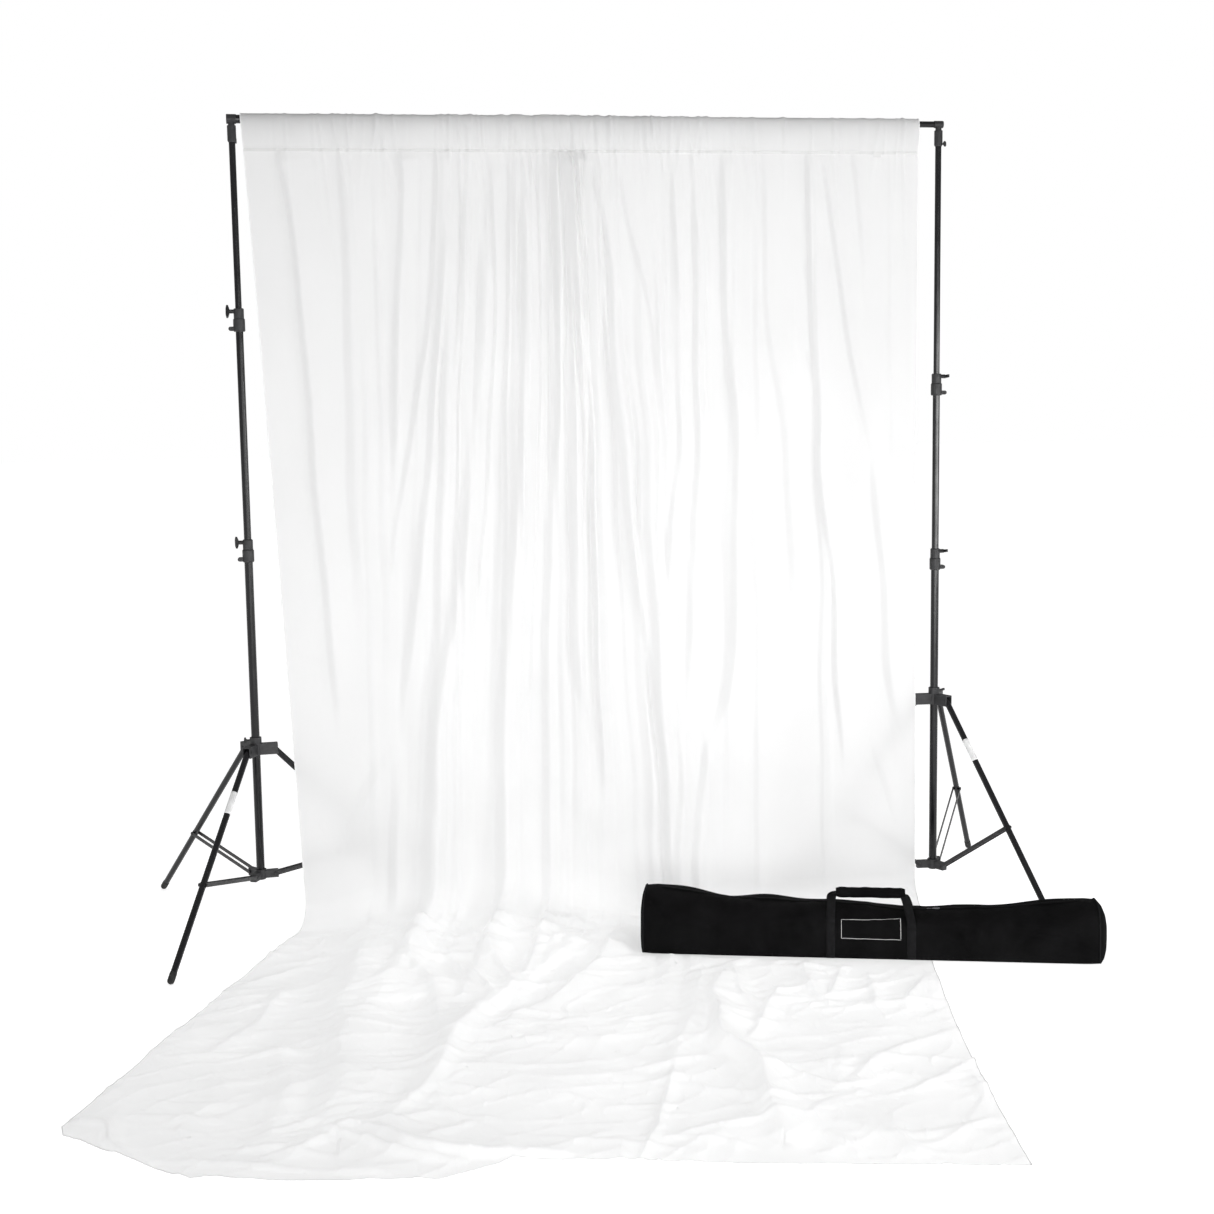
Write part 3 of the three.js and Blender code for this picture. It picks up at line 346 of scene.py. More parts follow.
def knob_plastic():
    """Black knob plastic, smoother than the castings."""
    s = Shader("knob_plastic", (0.010, 0.010, 0.011), 0.42, Specular_IOR_Level=0.45)
    place = s.coordinates()
    s.ramp(s.noise(place, 120, 3), 0.34, 0.52, "Roughness")
    s.bump(s.noise(place, 1100, 2), 0.00006)
    return s.material


def strut_steel():
    """Black paint on thin bar, rubbed a little lighter in patches."""
    s = Shader("strut_paint", (0.012, 0.012, 0.013), 0.40, Specular_IOR_Level=0.45)
    place = s.coordinates(stretch=(1, 1, 3))
    s.ramp(s.noise(place, 40, 5), (0.009, 0.009, 0.010), (0.030, 0.030, 0.032), "Base Color", 0.45, 0.85)
    s.ramp(s.noise(place, 70, 3), 0.3, 0.5, "Roughness")
    return s.material


def rubber():
    """Dull black rubber with dust on it."""
    s = Shader("foot_rubber", (0.010, 0.010, 0.010), 0.8)
    place = s.coordinates()
    s.ramp(s.noise(place, 80, 4), (0.008, 0.008, 0.008), (0.028, 0.027, 0.026), "Base Color", 0.4, 0.8)
    s.bump(s.noise(place, 900, 3), 0.0001)
    return s.material


def bare_steel():
    """Worn steel of the zip's slider."""
    s = Shader("zip_steel", (0.16, 0.16, 0.17), 0.3, Metallic=1.0)
    s.ramp(s.noise(s.coordinates(), 300, 3), 0.22, 0.42, "Roughness")
    return s.material


def woven(s, pitch, distance):
    """Over-and-under threads of the given pitch and height in metres."""
    place = s.coordinates("UV")
    wave_scale = 1 / pitch / WAVE_BANDS
    across = s.wave(place, wave_scale, "X")
    along = s.wave(place, wave_scale, "Y")
    s.bump(s.math("MULTIPLY", across, along), distance)


def muslin_cloth(name="muslin_cotton", shade=0.80, light_through=0.42):
    """Bleached cotton muslin: plain weave, slubs, and soft creases left by being folded away."""
    s = Shader(name, (shade, shade, shade), 0.93, Sheen_Weight=0.15, Sheen_Roughness=0.6)
    place = s.coordinates("UV")
    s.ramp(s.noise(place, 1.7, 3), (shade,) * 3, (shade + 0.06,) * 3, "Base Color")
    woven(s, 0.0012, 0.00008)
    s.bump(s.noise(s.coordinates("UV", (5, 70, 1)), 1, 4), 0.0006, 0.35)
    s.bump(s.noise(place, 16, 5, 0.6), 0.0030, 0.45)
    s.bump(s.noise(place, 5, 3, 0.55), 0.0060, 0.35)
    if light_through:
        s.let_light_through(light_through)
    return s.material


def seam_thread_and_painted_shade():
    """Thread a little greyer than the muslin, for its stitches and tag; on the seam band the same grey is
    painted shade of the doubled cloth, which lets less light through.
    """
    s = Shader("muslin_seam", (0.70, 0.70, 0.695), 0.95, Sheen_Weight=0.2)
    s.bump(s.noise(s.coordinates(stretch=(160, 40, 40)), 1, 2), 0.0006)
    return s.material


def bag_canvas():
    """Black woven polyester with hardly any gloss: a visible weave, uneven dye and soft crumples."""
    s = Shader("bag_canvas", (0.005, 0.005, 0.005), 0.85, Specular_IOR_Level=0.03)
    place = s.coordinates("UV")
    s.ramp(s.noise(place, 9, 4), (0.0032, 0.0032, 0.0033), (0.0066, 0.0066, 0.0069), "Base Color")
    woven(s, 0.0016, 0.00022)
    s.bump(s.noise(place, 22, 5, 0.6), 0.0035, 0.5)
    return s.material


def webbing():
    """Ribbed black nylon webbing."""
    s = Shader("nylon_webbing", (0.008, 0.008, 0.008), 0.75, Specular_IOR_Level=0.08)
    place = s.coordinates("UV")
    s.ramp(s.noise(place, 40, 3), (0.006, 0.006, 0.0064), (0.011, 0.011, 0.0118), "Base Color")
    woven(s, 0.0022, 0.00045)
    return s.material


def patch_cloth():
    """A blank woven patch."""
    s = Shader("blank_patch", (0.55, 0.55, 0.545), 0.85, Sheen_Weight=0.2)
    place = s.coordinates("UV")
    s.ramp(s.noise(place, 120, 3), (0.47, 0.47, 0.465), (0.62, 0.62, 0.615), "Base Color")
    woven(s, 0.0009, 0.0002)
    return s.material


def label_film():
    """A blank adhesive label."""
    s = Shader("blank_label", (0.72, 0.72, 0.72), 0.35, Coat_Weight=0.2)
    s.ramp(s.noise(s.coordinates(), 60, 3), (0.64, 0.64, 0.64), (0.78, 0.78, 0.78), "Base Color")
    return s.material


# ---- mesh helpers ----------------------------------------------------------------------------------
def new_object(name, vertices, faces, material, smooth=True):
    """A mesh object in the scene with one material."""
    mesh = bpy.data.meshes.new(name)
    mesh.from_pydata([tuple(v) for v in vertices], [], faces)
    mesh.materials.append(material)
    mesh.validate()
    if smooth:
        mesh.shade_smooth()
    obj = bpy.data.objects.new(name, mesh)
    bpy.context.scene.collection.objects.link(obj)
    return obj


def grid_object(name, points, material, uv=None, wrap=False):
    """A surface through an array of points [row, column, xyz], with UVs in metres of flat cloth."""
    rows, columns = points.shape[:2]
    faces = []
    for r in range(rows - 1):
        for c in range(columns if wrap else columns - 1):
            here, beside = r * columns + c, r * columns + (c + 1) % columns
            faces.append((here, beside, beside + columns, here + columns))
    obj = new_object(name, points.reshape(-1, 3), faces, material)
    if uv is not None:
        corners = np.array([loop.vertex_index for loop in obj.data.loops])
        layer = obj.data.uv_layers.new(name="cloth")
        layer.data.foreach_set("uv", uv.reshape(-1, 2)[corners].ravel())
    return obj


def thinned(obj, triangles):
    """Merges the flattest triangles of a fine grid until about the given count is left."""
    modifier = obj.modifiers.new("thin", "DECIMATE")
    modifier.ratio = triangles / (2 * len(obj.data.polygons))
    apply_modifiers(obj)
    obj.data.shade_smooth()
    return obj


def apply_modifiers(obj):
    """Replaces an object's mesh with what its modifiers make of it."""
    seen = obj.evaluated_get(bpy.context.evaluated_depsgraph_get())
    before = obj.data
    obj.data = bpy.data.meshes.new_from_object(seen)
    obj.modifiers.clear()
    bpy.data.meshes.remove(before)


def thickened(obj, thickness):
    """Gives a surface a thickness, half to each side, with square edges."""
    layers = obj.modifiers.new("layers", "SOLIDIFY")
    layers.thickness = thickness
    layers.offset = 0.0
    apply_modifiers(obj)
    obj.data.set_sharp_from_angle(angle=CLOTH_CORNER)
    return obj


def edited(obj, change):
    """Makes a change to an object's mesh, then turns its faces outwards and shades it smooth."""
    edit = bmesh.new()
    edit.from_mesh(obj.data)
    change(edit)
    bmesh.ops.recalc_face_normals(edit, faces=edit.faces)
    edit.to_mesh(obj.data)
    edit.free()
    obj.data.shade_smooth()
    return obj


def close_ends(obj, columns):
    """Fills both open ends of a tube made of rings of the given count."""
    def fill(edit):
        edit.verts.ensure_lookup_table()
        edit.faces.new([edit.verts[i] for i in reversed(range(columns))])
        edit.faces.new([edit.verts[-columns + i] for i in range(columns)])
    return edited(obj, fill)


def lengths_along(line):
    """Distance of each point of a line from its first point, along the line."""
    return np.concatenate([[0], np.cumsum(np.linalg.norm(np.diff(line, axis=0), axis=1))])


def ripple(x, y, wavelength, seed, lean=math.pi):
    """Smooth seeded noise of about unit height: waves of nearly one length, leaning up to lean from +X."""
    rng = np.random.default_rng(seed)
    total = np.zeros(np.broadcast(x, y).shape)
    for _ in range(RIPPLE_WAVES):
        angle = rng.uniform(-lean, lean)
        number = 2 * math.pi / (wavelength * rng.uniform(*RIPPLE_SPREAD))
        phase = rng.uniform(0, 2 * math.pi)
        total += np.sin(number * (x * math.cos(angle) + y * math.sin(angle)) + phase)
    return total / math.sqrt(RIPPLE_WAVES)


def curve_through(points, count):
    """Points spaced along a smooth curve through a few given ones (Catmull-Rom)."""
    points = np.asarray(points, float)
    padded = np.vstack([2 * points[0] - points[1], points, 2 * points[-1] - points[-2]])
    result = []
    just_short = len(points) - 1 - 1e-9     # keeps the last value inside the last piece
    for value in np.linspace(0, just_short, count):
        i = int(value)
        t = value - i
        a, b, c, d = padded[i:i + 4]
        bend, twist = 2 * a - 5 * b + 4 * c - d, 3 * b - a - 3 * c + d
        result.append(0.5 * (2 * b + (c - a) * t + bend * t ** 2 + twist * t ** 3))
    return np.array(result)


def smooth_step(value, low, high):
    """0 up to low, 1 from high on, and a smooth climb between."""
    t = np.clip((value - low) / (high - low), 0, 1)
    return t * t * (3 - 2 * t)


def soften(value, floor, blend):
    """The larger of a value and a floor, without a corner between them."""
    return floor + blend * np.logaddexp(0, (value - floor) / blend)


# ---- muslin ----------------------------------------------------------------------------------------
def cloth_place(rng, gathered):
    """A random place across the cloth, more often near the middle, where the gathers are pushed together."""
    if rng.random() < gathered:
        return float(np.clip(rng.normal(GATHER_MIDDLE, GATHER_SPREAD), *FOLD_PLACES))
    return rng.uniform(*FOLD_PLACES)


def pleat(offset, height, steep, shallow):
    """A fold that climbs steeply to its crest just right of offset 0 and falls away slowly after it."""
    after = np.clip(offset - steep / 2, 0, None) / abs(shallow)
    return height * smooth_step(offset, -steep / 2, steep / 2) * np.exp(-after ** 1.5)


def gather_height(across, down):
    """Short puckers in the rod pocket that die away below its seam."""
    rng = np.random.default_rng(seed=11)
    total = np.zeros_like(across)
    for _ in range(PUCKERS):
        centre = cloth_place(rng, gathered=0.6)
        slant = rng.normal(0, 0.10)
        size = rng.uniform(0.0030, 0.0085)
        reach = rng.uniform(0.06, 0.34)
        height = rng.uniform(0.0015, 0.0050)
        line = (across - centre) * CLOTH_WIDTH - slant * down
        total += height * np.exp(-((line / size) ** 2) - (down / reach) ** 2)
    return np.minimum(total, TALLEST_PUCKER)


def fold_line(line, down):
    """How far across a fold lies at a depth, on a smooth curve through its points."""
    curve = curve_through(line, count=60)
    return np.interp(down, curve[:, 1], curve[:, 0])


def hanging_folds(across, down):
    """All folds along one row of the drop. The long ones get less steep on the way down."""
    total = np.zeros_like(across)
    widening = 1.2 + 0.9 * down / BAR_HEIGHT
    for height, steep, shallow, line in DROP_FOLDS:
        first, last = line[0][1], line[-1][1]
        fade = smooth_step(down, *(first + rise for rise in LONG_FOLD_RISE))
        if last < BAR_HEIGHT:
            fade *= 1 - smooth_step(down, last - LONG_FOLD_END, last)
        offset = (across - fold_line(line, down)) * CLOTH_WIDTH
        total += pleat(offset, height * fade, steep * widening, shallow)
    return total + fine_folds(across, down) + tight_gathers(across, down)


def tight_gathers(across, down):
    """The bunch of narrow folds just left of the middle, where the cloth is pushed together on the bar."""
    rng = np.random.default_rng(seed=37)
    total = np.zeros_like(across)
    for _ in range(TIGHT_GATHERS):
        centre = rng.normal(0.472, 0.022)
        drift = rng.normal(-0.012, 0.012)
        size, height = rng.uniform(0.0045, 0.0090), rng.uniform(0.006, 0.013)
        fade = 1 - smooth_step(down, rng.uniform(0.2, 0.7), rng.uniform(0.9, 1.9))
        line = (across - centre - drift * down) * CLOTH_WIDTH
        total += height * fade * np.exp(-((line / size) ** 2))
    return total


def fine_folds(across, down):
    """Many narrower folds between the long ones, drifting the same way."""
    rng = np.random.default_rng(seed=23)
    total = np.zeros_like(across)
    depth = down / BAR_HEIGHT
    for _ in range(FINE_FOLDS):
        top = cloth_place(rng, gathered=0.86)
        drift = np.interp(top, *zip(*FAN)) + rng.normal(0, 0.012)
        steep, shallow = rng.uniform(0.006, 0.014), rng.uniform(0.010, 0.040)
        start, end = rng.uniform(-0.2, 1.0), rng.uniform(1.2, 3.4)
        height = rng.uniform(0.003, 0.012)
        facing = 1 if rng.random() < 0.7 else -1
        fade = smooth_step(down, start, start + 0.4) * (1 - smooth_step(down, end - 0.6, end))
        offset = (across - top - drift * depth) * CLOTH_WIDTH * facing
        height *= fade * (1 - 0.45 * depth)
        total += pleat(offset, height, steep * (1 + 1.6 * depth), shallow * (1 + depth))
    return total


def crease(x, y, line, left, right):
    """Share of a crease's height at points near its line, which tapers off towards both ends."""
    nearest, share, place = np.full(x.shape, np.inf), np.zeros(x.shape), np.zeros(x.shape)
    for i, ((ax, ay), (bx, by)) in enumerate(zip(line, line[1:])):
        dx, dy = bx - ax, by - ay
        t = np.clip(((x - ax) * dx + (y - ay) * dy) / (dx * dx + dy * dy), 0, 1)
        away = np.hypot(x - ax - t * dx, y - ay - t * dy)
        to_right = dx * (y - ay) - dy * (x - ax) > 0
        closer = away < nearest
        share = np.where(closer, np.exp(-(away / np.where(to_right, right, left)) ** 1.6), share)
        place = np.where(closer, (i + t) / (len(line) - 1), place)
        nearest = np.minimum(nearest, away)
    taper = np.sin(np.pi * np.clip(0.10 + 0.82 * place, 0, 1)) ** 0.6
    return share * taper


def floor_folds(x, y):
    """Height of the cloth lying on the floor."""
    drift_x = x + FLOOR_DRIFT * ripple(x, y, wavelength=0.45, seed=5)
    drift_y = y + FLOOR_DRIFT * ripple(x, y, wavelength=0.45, seed=6)
    total = np.zeros_like(x)
    for height, left, right, line in FLOOR_CREASES:
        curve = curve_through(line, count=4 * len(line))
        total = np.hypot(total, height * crease(drift_x, drift_y, curve, left, right))
    total += 0.0035 * (1 + ripple(x, y, wavelength=0.36, seed=7))
    total += 0.0050 * crumple(drift_x, drift_y, wavelength=0.50, seed=8)
    total += 0.0036 * crumple(drift_x, drift_y * 1.5, wavelength=0.20, seed=9, sharpness=4)
    total += 0.0018 * crumple(x, y * 1.4, wavelength=0.10, seed=10, sharpness=4)
    return total + short_creases(drift_x, drift_y)


def short_creases(x, y):
    """Small sharp wrinkles left by packing, mostly lying from side to side."""
    rng = np.random.default_rng(seed=71)
    total = np.zeros_like(x)
    for _ in range(WRINKLES):
        centre_x, centre_y = rng.uniform(-1.25, 0.75), rng.uniform(-1.95, -0.20)
        turn, half = rng.normal(0.1, 0.45), rng.uniform(0.05, 0.20)
        height, size = rng.uniform(0.0025, 0.0070), rng.uniform(0.006, 0.013)
        bend = rng.uniform(-1.6, 1.6)
        along = (x - centre_x) * math.cos(turn) + (y - centre_y) * math.sin(turn)
        away = (y - centre_y) * math.cos(turn) - (x - centre_x) * math.sin(turn) - bend * along ** 2
        side = np.where(away > 0, size, 2.2 * size)
        total += height * np.exp(-((away / side) ** 2) - (along / half) ** 4)
    return total


def crumple(x, y, wavelength, seed, sharpness=2):
    """Ridged seeded noise from 0 to 1: a web of creases, narrower as sharpness grows."""
    return np.clip(1 - np.abs(ripple(x, y, wavelength, seed)), 0, 1) ** sharpness


def puddle_folds(x, y):
    """Cloth that slumps where the hanging part meets the floor, most of all left of the middle."""
    heap = np.exp(-(((x - PUDDLE_MIDDLE[0]) / PUDDLE_SIZE[0]) ** 2))
    heap *= np.exp(-(((y - PUDDLE_MIDDLE[1]) / PUDDLE_SIZE[1]) ** 2))
    rolls = 0.5 + 0.5 * ripple(x * 1.3, y * 2.2, wavelength=0.22, seed=31, lean=1.2)
    creases = crumple(x, y * 1.5, wavelength=0.24, seed=33, sharpness=3)
    return heap * (0.004 + 0.018 * np.clip(rolls, 0, 1.4) + 0.012 * creases)


def under_bag(x, y):
    """1 where the bag presses the cloth flat and just round it, falling to 0 a hand's width outside."""
    x, y = x - BAG_CENTRE[0], y - BAG_CENTRE[1]
    along, across = x * BAG_ALONG[0] + y * BAG_ALONG[1], x * BAG_ACROSS[0] + y * BAG_ACROSS[1]
    outside = np.maximum(np.abs(along) - BAG_LENGTH / 2, np.abs(across) - BAG_DEPTH / 2)
    return 1 - smooth_step(outside - BAG_PRESS_MARGIN, 0.0, BAG_PRESS_FADE)


def floor_point(across, out):
    """A point of the cloth on the floor: share across, and share out from the foot of the drop."""
    share, front_x, front_y = (np.array(values) for values in zip(*CLOTH_FRONT))
    end_x, end_y = np.interp(across, share, front_x), np.interp(across, share, front_y)
    start_x = CLOTH_FOOT_LEFT + across * (CLOTH_FOOT_RIGHT - CLOTH_FOOT_LEFT)
    bow = RIGHT_EDGE_BOW * np.sin(np.pi * out) * across ** 3
    return start_x + (end_x - start_x) * out - bow, CLOTH_FOOT_Y + (end_y - CLOTH_FOOT_Y) * out


def cloth_edges(z):
    """Left and right edges of the hanging cloth at a height."""
    down = np.clip(1 - z / BAR_HEIGHT, 0, 1)
    left = CLOTH_TOP_LEFT + (CLOTH_FOOT_LEFT - CLOTH_TOP_LEFT) * down ** 0.9
    right = CLOTH_TOP_RIGHT + (CLOTH_FOOT_RIGHT - CLOTH_TOP_RIGHT) * down
    return left, right


def pocket_rows(across):
    """The loop round the bar: up its back, over the top and down its front to the seam."""
    profile = [(y, BAR_HEIGHT - POCKET_DEPTH + rise) for y, rise in POCKET_BACK]
    profile.append((POCKET_RADIUS, BAR_HEIGHT - 0.008))
    for degrees in range(10, 180, 20):
        angle = math.radians(degrees)
        profile.append((POCKET_RADIUS * math.cos(angle), BAR_HEIGHT + POCKET_RADIUS * math.sin(angle)))
    for share in np.linspace(0, 1, 10):
        y = -POCKET_RADIUS * (1 - share ** 1.6) - FRONT_GAP * share ** 1.6
        profile.append((y, BAR_HEIGHT - 0.004 - (POCKET_DEPTH - 0.008) * share))
    rows = []
    for y, z in profile:
        left, right = cloth_edges(np.minimum(z, BAR_HEIGHT))
        puckers = gather_height(across, np.full_like(across, max(BAR_HEIGHT - z, 0.0)))
        puckers *= 0.45 if z > BAR_HEIGHT else 1.0      # the cloth is pulled tighter over the bar
        outward = Vector((y, z - BAR_HEIGHT)) if z > BAR_HEIGHT else Vector((y, 0.0))
        outward.normalize()
        x = left + across * (right - left)
        rows.append(np.stack([x, y + outward.x * puckers, z + outward.y * puckers], axis=-1))
    return rows


def bend_radius(across):
    """How gently the cloth turns from hanging to lying, across its width."""
    return TURN_TIGHT + TURN_EXTRA * np.exp(-(((across - SLACK_MIDDLE) / TURN_WIDTH) ** 2))


def drop_rows(across, radius):
    """The hanging cloth from just below the seam to where it starts to turn."""
    seam = BAR_HEIGHT - POCKET_DEPTH
    top = seam - 0.004
    inside_edges = smooth_step(across, 0.0, 0.02) * smooth_step(1 - across, 0.0, 0.02)
    slack_part = np.exp(-(((across - SLACK_MIDDLE) / SLACK_WIDTH) ** 2))
    rows = []
    for share in np.linspace(0, 1, DROP_ROWS)[1:] ** 1.05:
        z = top + (radius - top) * share
        down = BAR_HEIGHT - z
        left, right = cloth_edges(z)
        base = CLOTH_FOOT_Y * (down - POCKET_DEPTH) / seam - FRONT_GAP
        folds = gather_height(across, down) + hanging_folds(across, down)
        folds += 0.0035 * ripple(across * 2.0, z, wavelength=0.42, seed=41) * smooth_step(down, 0.1, 0.8)
        slack = smooth_step(down, 1.85, 2.30) * slack_part
        folds += slack * (0.35 * folds + 0.010 * ripple(across * 2.6, z * 1.1, wavelength=0.24, seed=45))
        front = base - folds * (0.35 + 0.65 * inside_edges) + 0.014 * smooth_step(down, 0.1, 1.2)
        sideways = 0.006 * ripple(across * 2.0, z, wavelength=0.6, seed=43) * smooth_step(down, 0.2, 1.0)
        sideways *= inside_edges
        rows.append(np.stack([left + across * (right - left) + sideways, front, z], axis=-1))
    return rows


def floor_rows(across, radius, foot):
    """The turn at the floor and the cloth lying in front. foot is the last hanging row."""
    foot_fold = CLOTH_FOOT_Y - foot[:, 1]
    running_fold = np.clip(foot_fold, 0, RUNNING_FOLD)
    drift = foot[:, 0] - floor_point(across, 0.0)[0]
    total_out = CLOTH_FOOT_Y - floor_point(across, 1.0)[1]
    rows = []
    for turn in np.linspace(0, 1, TURN_ROWS)[1:]:
        angle = turn * math.pi / 2
        x, y = floor_point(across, radius * (1 - math.cos(angle)) / total_out)
        lying = (floor_height(x, y, 0.0) - FLOOR_LIFT) * turn ** 1.5
        z = radius * (1 - math.sin(angle)) + running_fold * math.sin(angle) + lying
        y = y - foot_fold * math.cos(angle)
        rows.append(np.stack([x + drift * (1 - turn), y, np.maximum(z, FLOOR_LIFT)], axis=-1))
    for share in np.linspace(0, 1, FLOOR_ROWS)[1:] ** 1.08:
        out = share * (total_out - radius)
        x, y = floor_point(across, (radius + out) / total_out)
        z = floor_height(x, y, running_fold * np.exp(-out / RUNNING_REACH))
        rows.append(np.stack([x, y, z], axis=-1))
    return rows


def floor_height(x, y, running):
    """Height of the cloth over the floor, with the hanging folds running out into it."""
    folds = floor_folds(x, y) + puddle_folds(x, y) + running
    pressed = under_bag(x, y)
    lifted = soften(folds - FLOOR_FLATNESS, floor=0.0, blend=0.0015)
    return FLOOR_LIFT + lifted * (1 - pressed)


def build_muslin(material, hem, thread_and_painted_shade):
    """The cloth as one sheet from the pocket to its front edge, with its hems and its seam."""
    across = np.linspace(0, 1, CLOTH_COLUMNS)
    radius = bend_radius(across)
    pocket, drop = pocket_rows(across), drop_rows(across, radius)
    points = np.array(pocket + drop + floor_rows(across, radius, foot=drop[-1]))
    steps = np.linalg.norm(np.diff(points, axis=0), axis=-1).mean(axis=1)
    lengths = np.concatenate([[0], np.cumsum(steps)])
    uv = np.stack(np.broadcast_arrays(across[None, :] * CLOTH_CUT[0], lengths[:, None]), axis=-1)
    points += np.array(KIT)
    cloth = thinned(grid_object("muslin", points, material, uv), CLOTH_TRIANGLES)
    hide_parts("muslin_pocket", "muslin_drop", "muslin_sweep")
    seam_row = len(pocket) - 1
    sewn = build_hems(points, hem) + build_seam(points[seam_row - 1:seam_row + 2], thread_and_painted_shade)
    for piece in [cloth] + sewn:
        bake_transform(piece)


def build_hems(points, material):
    """Narrow rolled hems down both sides and across the front edge."""
    edges = {"left": points[:, 0], "right": points[:, -1], "front": points[-1]}
    return [
        tube_along(f"muslin_hem_{side}", line, HEM_RADIUS, material, sides=6)
        for side, line in edges.items()
    ]


def build_seam(rows, thread_and_painted_shade):
    """The pocket's seam: a raised band, one row of stitches, and a blank tag sewn into it."""
    line = rows[1] + np.array([0, -0.0012, 0])
    drop = np.array([0, -0.0004, -SEAM_WIDTH / 2])
    # the band's grey is painted shade of the doubled cloth at the seam
    band = grid_object("muslin_seam_band", np.array([line - drop, line, line + drop]), thread_and_painted_shade)
    thickened(band, BAND_THICKNESS)
    along = lengths_along(line)
    axes = ((1, 0, 0), (0, 1, 0), (0, 0, 1))
    stitches = []
    for place in np.arange(0.004, along[-1] - 0.004, STITCH_PITCH):
        centre = [np.interp(place, along, line[:, axis]) for axis in range(3)]
        stitches.append((Vector(centre) + Vector((0, -0.0010, 0)), axes))
    sewing = boxes_object("muslin_stitches", stitches, STITCH_SIZE, thread_and_painted_shade)
    tag_at = line[int(TAG_ACROSS * len(line))] + np.array([0, -0.0024, -TAG_SIZE[2] / 2])
    tag = boxes_object("muslin_tag", [(Vector(tag_at), axes)], TAG_SIZE, thread_and_painted_shade)
    return [band, sewing, tag]


# ---- carry bag -------------------------------------------------------------------------------------
def bag_height(along):
    """The bag's height at a place along it."""
    stations, heights = zip(*BAG_HEIGHTS)
    return np.interp(along, stations, heights)


def bag_section(height, angle, offset=0.0):
    """[across, up] on the bag's cross-section. Angles run back, top, front, bottom."""
    power = np.where(np.sin(angle) > 0, 2 / BAG_ROUND_TOP, 2 / BAG_ROUND_BOTTOM)
    side, rise = (np.sign(value) * np.abs(value) ** power for value in (np.cos(angle), np.sin(angle)))
    return (BAG_DEPTH / 2 + offset) * side, height / 2 + (height / 2 + offset) * rise


def bag_place(along, across, up):
    """A point given along, across and up from the bag's centre, in the model's frame."""
    x = KIT.x + BAG_CENTRE[0] + along * BAG_ALONG[0] + across * BAG_ACROSS[0]
    y = KIT.y + BAG_CENTRE[1] + along * BAG_ALONG[1] + across * BAG_ACROSS[1]
    return np.stack(np.broadcast_arrays(x, y, up + BAG_LIFT), axis=-1)


def bag_wrinkle(along, angle):
    """How far dents and drag lines move the fabric out: none where it rests on the floor."""
    along, angle = np.broadcast_arrays(along, angle)
    across, up = bag_section(BAG_MEAN_HEIGHT, angle)
    front = smooth_step(-across, -0.03, 0.03)
    free = smooth_step(up, 0.004, 0.030)
    loose = 0.6 + np.exp(-(((along - 0.22) / 0.16) ** 2)) + 0.8 * np.exp(-(((along + 0.20) / 0.12) ** 2))
    folds = 0.0020 * ripple(along, up * 1.5, wavelength=0.17, seed=51, lean=0.9) * loose * front
    folds += 0.0012 * ripple(along * 1.2, up, wavelength=0.06, seed=52, lean=1.2) * loose * front
    folds += 0.0030 * ripple(along, up * 1.5, wavelength=0.20, seed=53, lean=0.9) * (1 - front)
    for height, size, line in BAG_CREASES:
        folds += height * crease(along, up, curve_through(line, count=12), size, size) * front
    sag = 0.014 * np.exp(-(((up - 0.010) / 0.045) ** 2)) * front
    return np.clip(folds, -0.012, 0.009) * free + sag


def section_angles(count):
    """Angles that lie evenly spaced round the bag's cross-section."""
    angles = np.linspace(0, 2 * math.pi, 6000)
    length = lengths_along(np.stack(bag_section(BAG_MEAN_HEIGHT, angles), axis=-1))
    return np.interp(np.linspace(0, length[-1], count, endpoint=False), length, angles)


def front_angle(share):
    """Angle at which the front panel reaches a share of the bag's height."""
    side = 2 * share - 1
    if side > 0:
        return math.pi - math.asin(side ** (BAG_ROUND_TOP / 2))
    return math.pi + math.asin(abs(side) ** (BAG_ROUND_BOTTOM / 2))


def bag_surface(along, angle, offset=0.0):
    """Points on the fabric. Both ends round in over the last few centimetres."""
    from_end = BAG_LENGTH / 2 - np.abs(along)
    tuck = 1 - END_TUCK * (1 - smooth_step(from_end, 0.0, END_TUCK_LENGTH)) ** 1.5
    height = bag_height(along)
    across, up = bag_section(height, angle, offset + bag_wrinkle(along, angle))
    return bag_place(along, across * tuck, np.maximum(up * (0.5 + 0.5 * tuck), CANVAS_LOWEST - BAG_LIFT))


def build_bag_body(material):
    """The bag's shell: one loft along its length, closed by a bulging panel at each end."""
    stations = np.concatenate([
        np.linspace(-BAG_LENGTH / 2, -BAG_LENGTH / 2 + 0.05, 8),
        np.linspace(-BAG_LENGTH / 2 + 0.06, BAG_LENGTH / 2 - 0.06, 220),
        np.linspace(BAG_LENGTH / 2 - 0.05, BAG_LENGTH / 2, 8),
    ])
    angles = section_angles(120)
    along, angle = np.meshgrid(stations, angles, indexing="ij")
    points = bag_surface(along, angle)
    left_panel, right_panel = end_panel(points[0], -1), end_panel(points[-1], 1)
    points = np.array(left_panel[::-1] + list(points) + right_panel)
    reach = np.cumsum([0.02] * len(BAG_END_PANEL))[:, None] * np.ones(len(angles))
    along = np.concatenate([along[0] - reach[::-1], along, along[-1] + reach])
    girth = np.linspace(0, 2 * (BAG_DEPTH + BAG_MEAN_HEIGHT) * 0.93, len(angles))
    uv = np.stack([along, np.broadcast_to(girth, along.shape)], axis=-1)
    body = close_ends(grid_object("bag_shell", points, material, uv, wrap=True), len(angles))
    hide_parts("bag_body")
    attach(body, "bag")


def end_panel(rim, outward):
    """Rings from an end's rim to its middle, for a panel that bulges a little."""
    centre = rim.mean(axis=0)
    bulge = BAG_ALONG * outward * BAG_END_BULGE[outward]
    return [centre + (rim - centre) * left + bulge * reached for left, reached in BAG_END_PANEL]


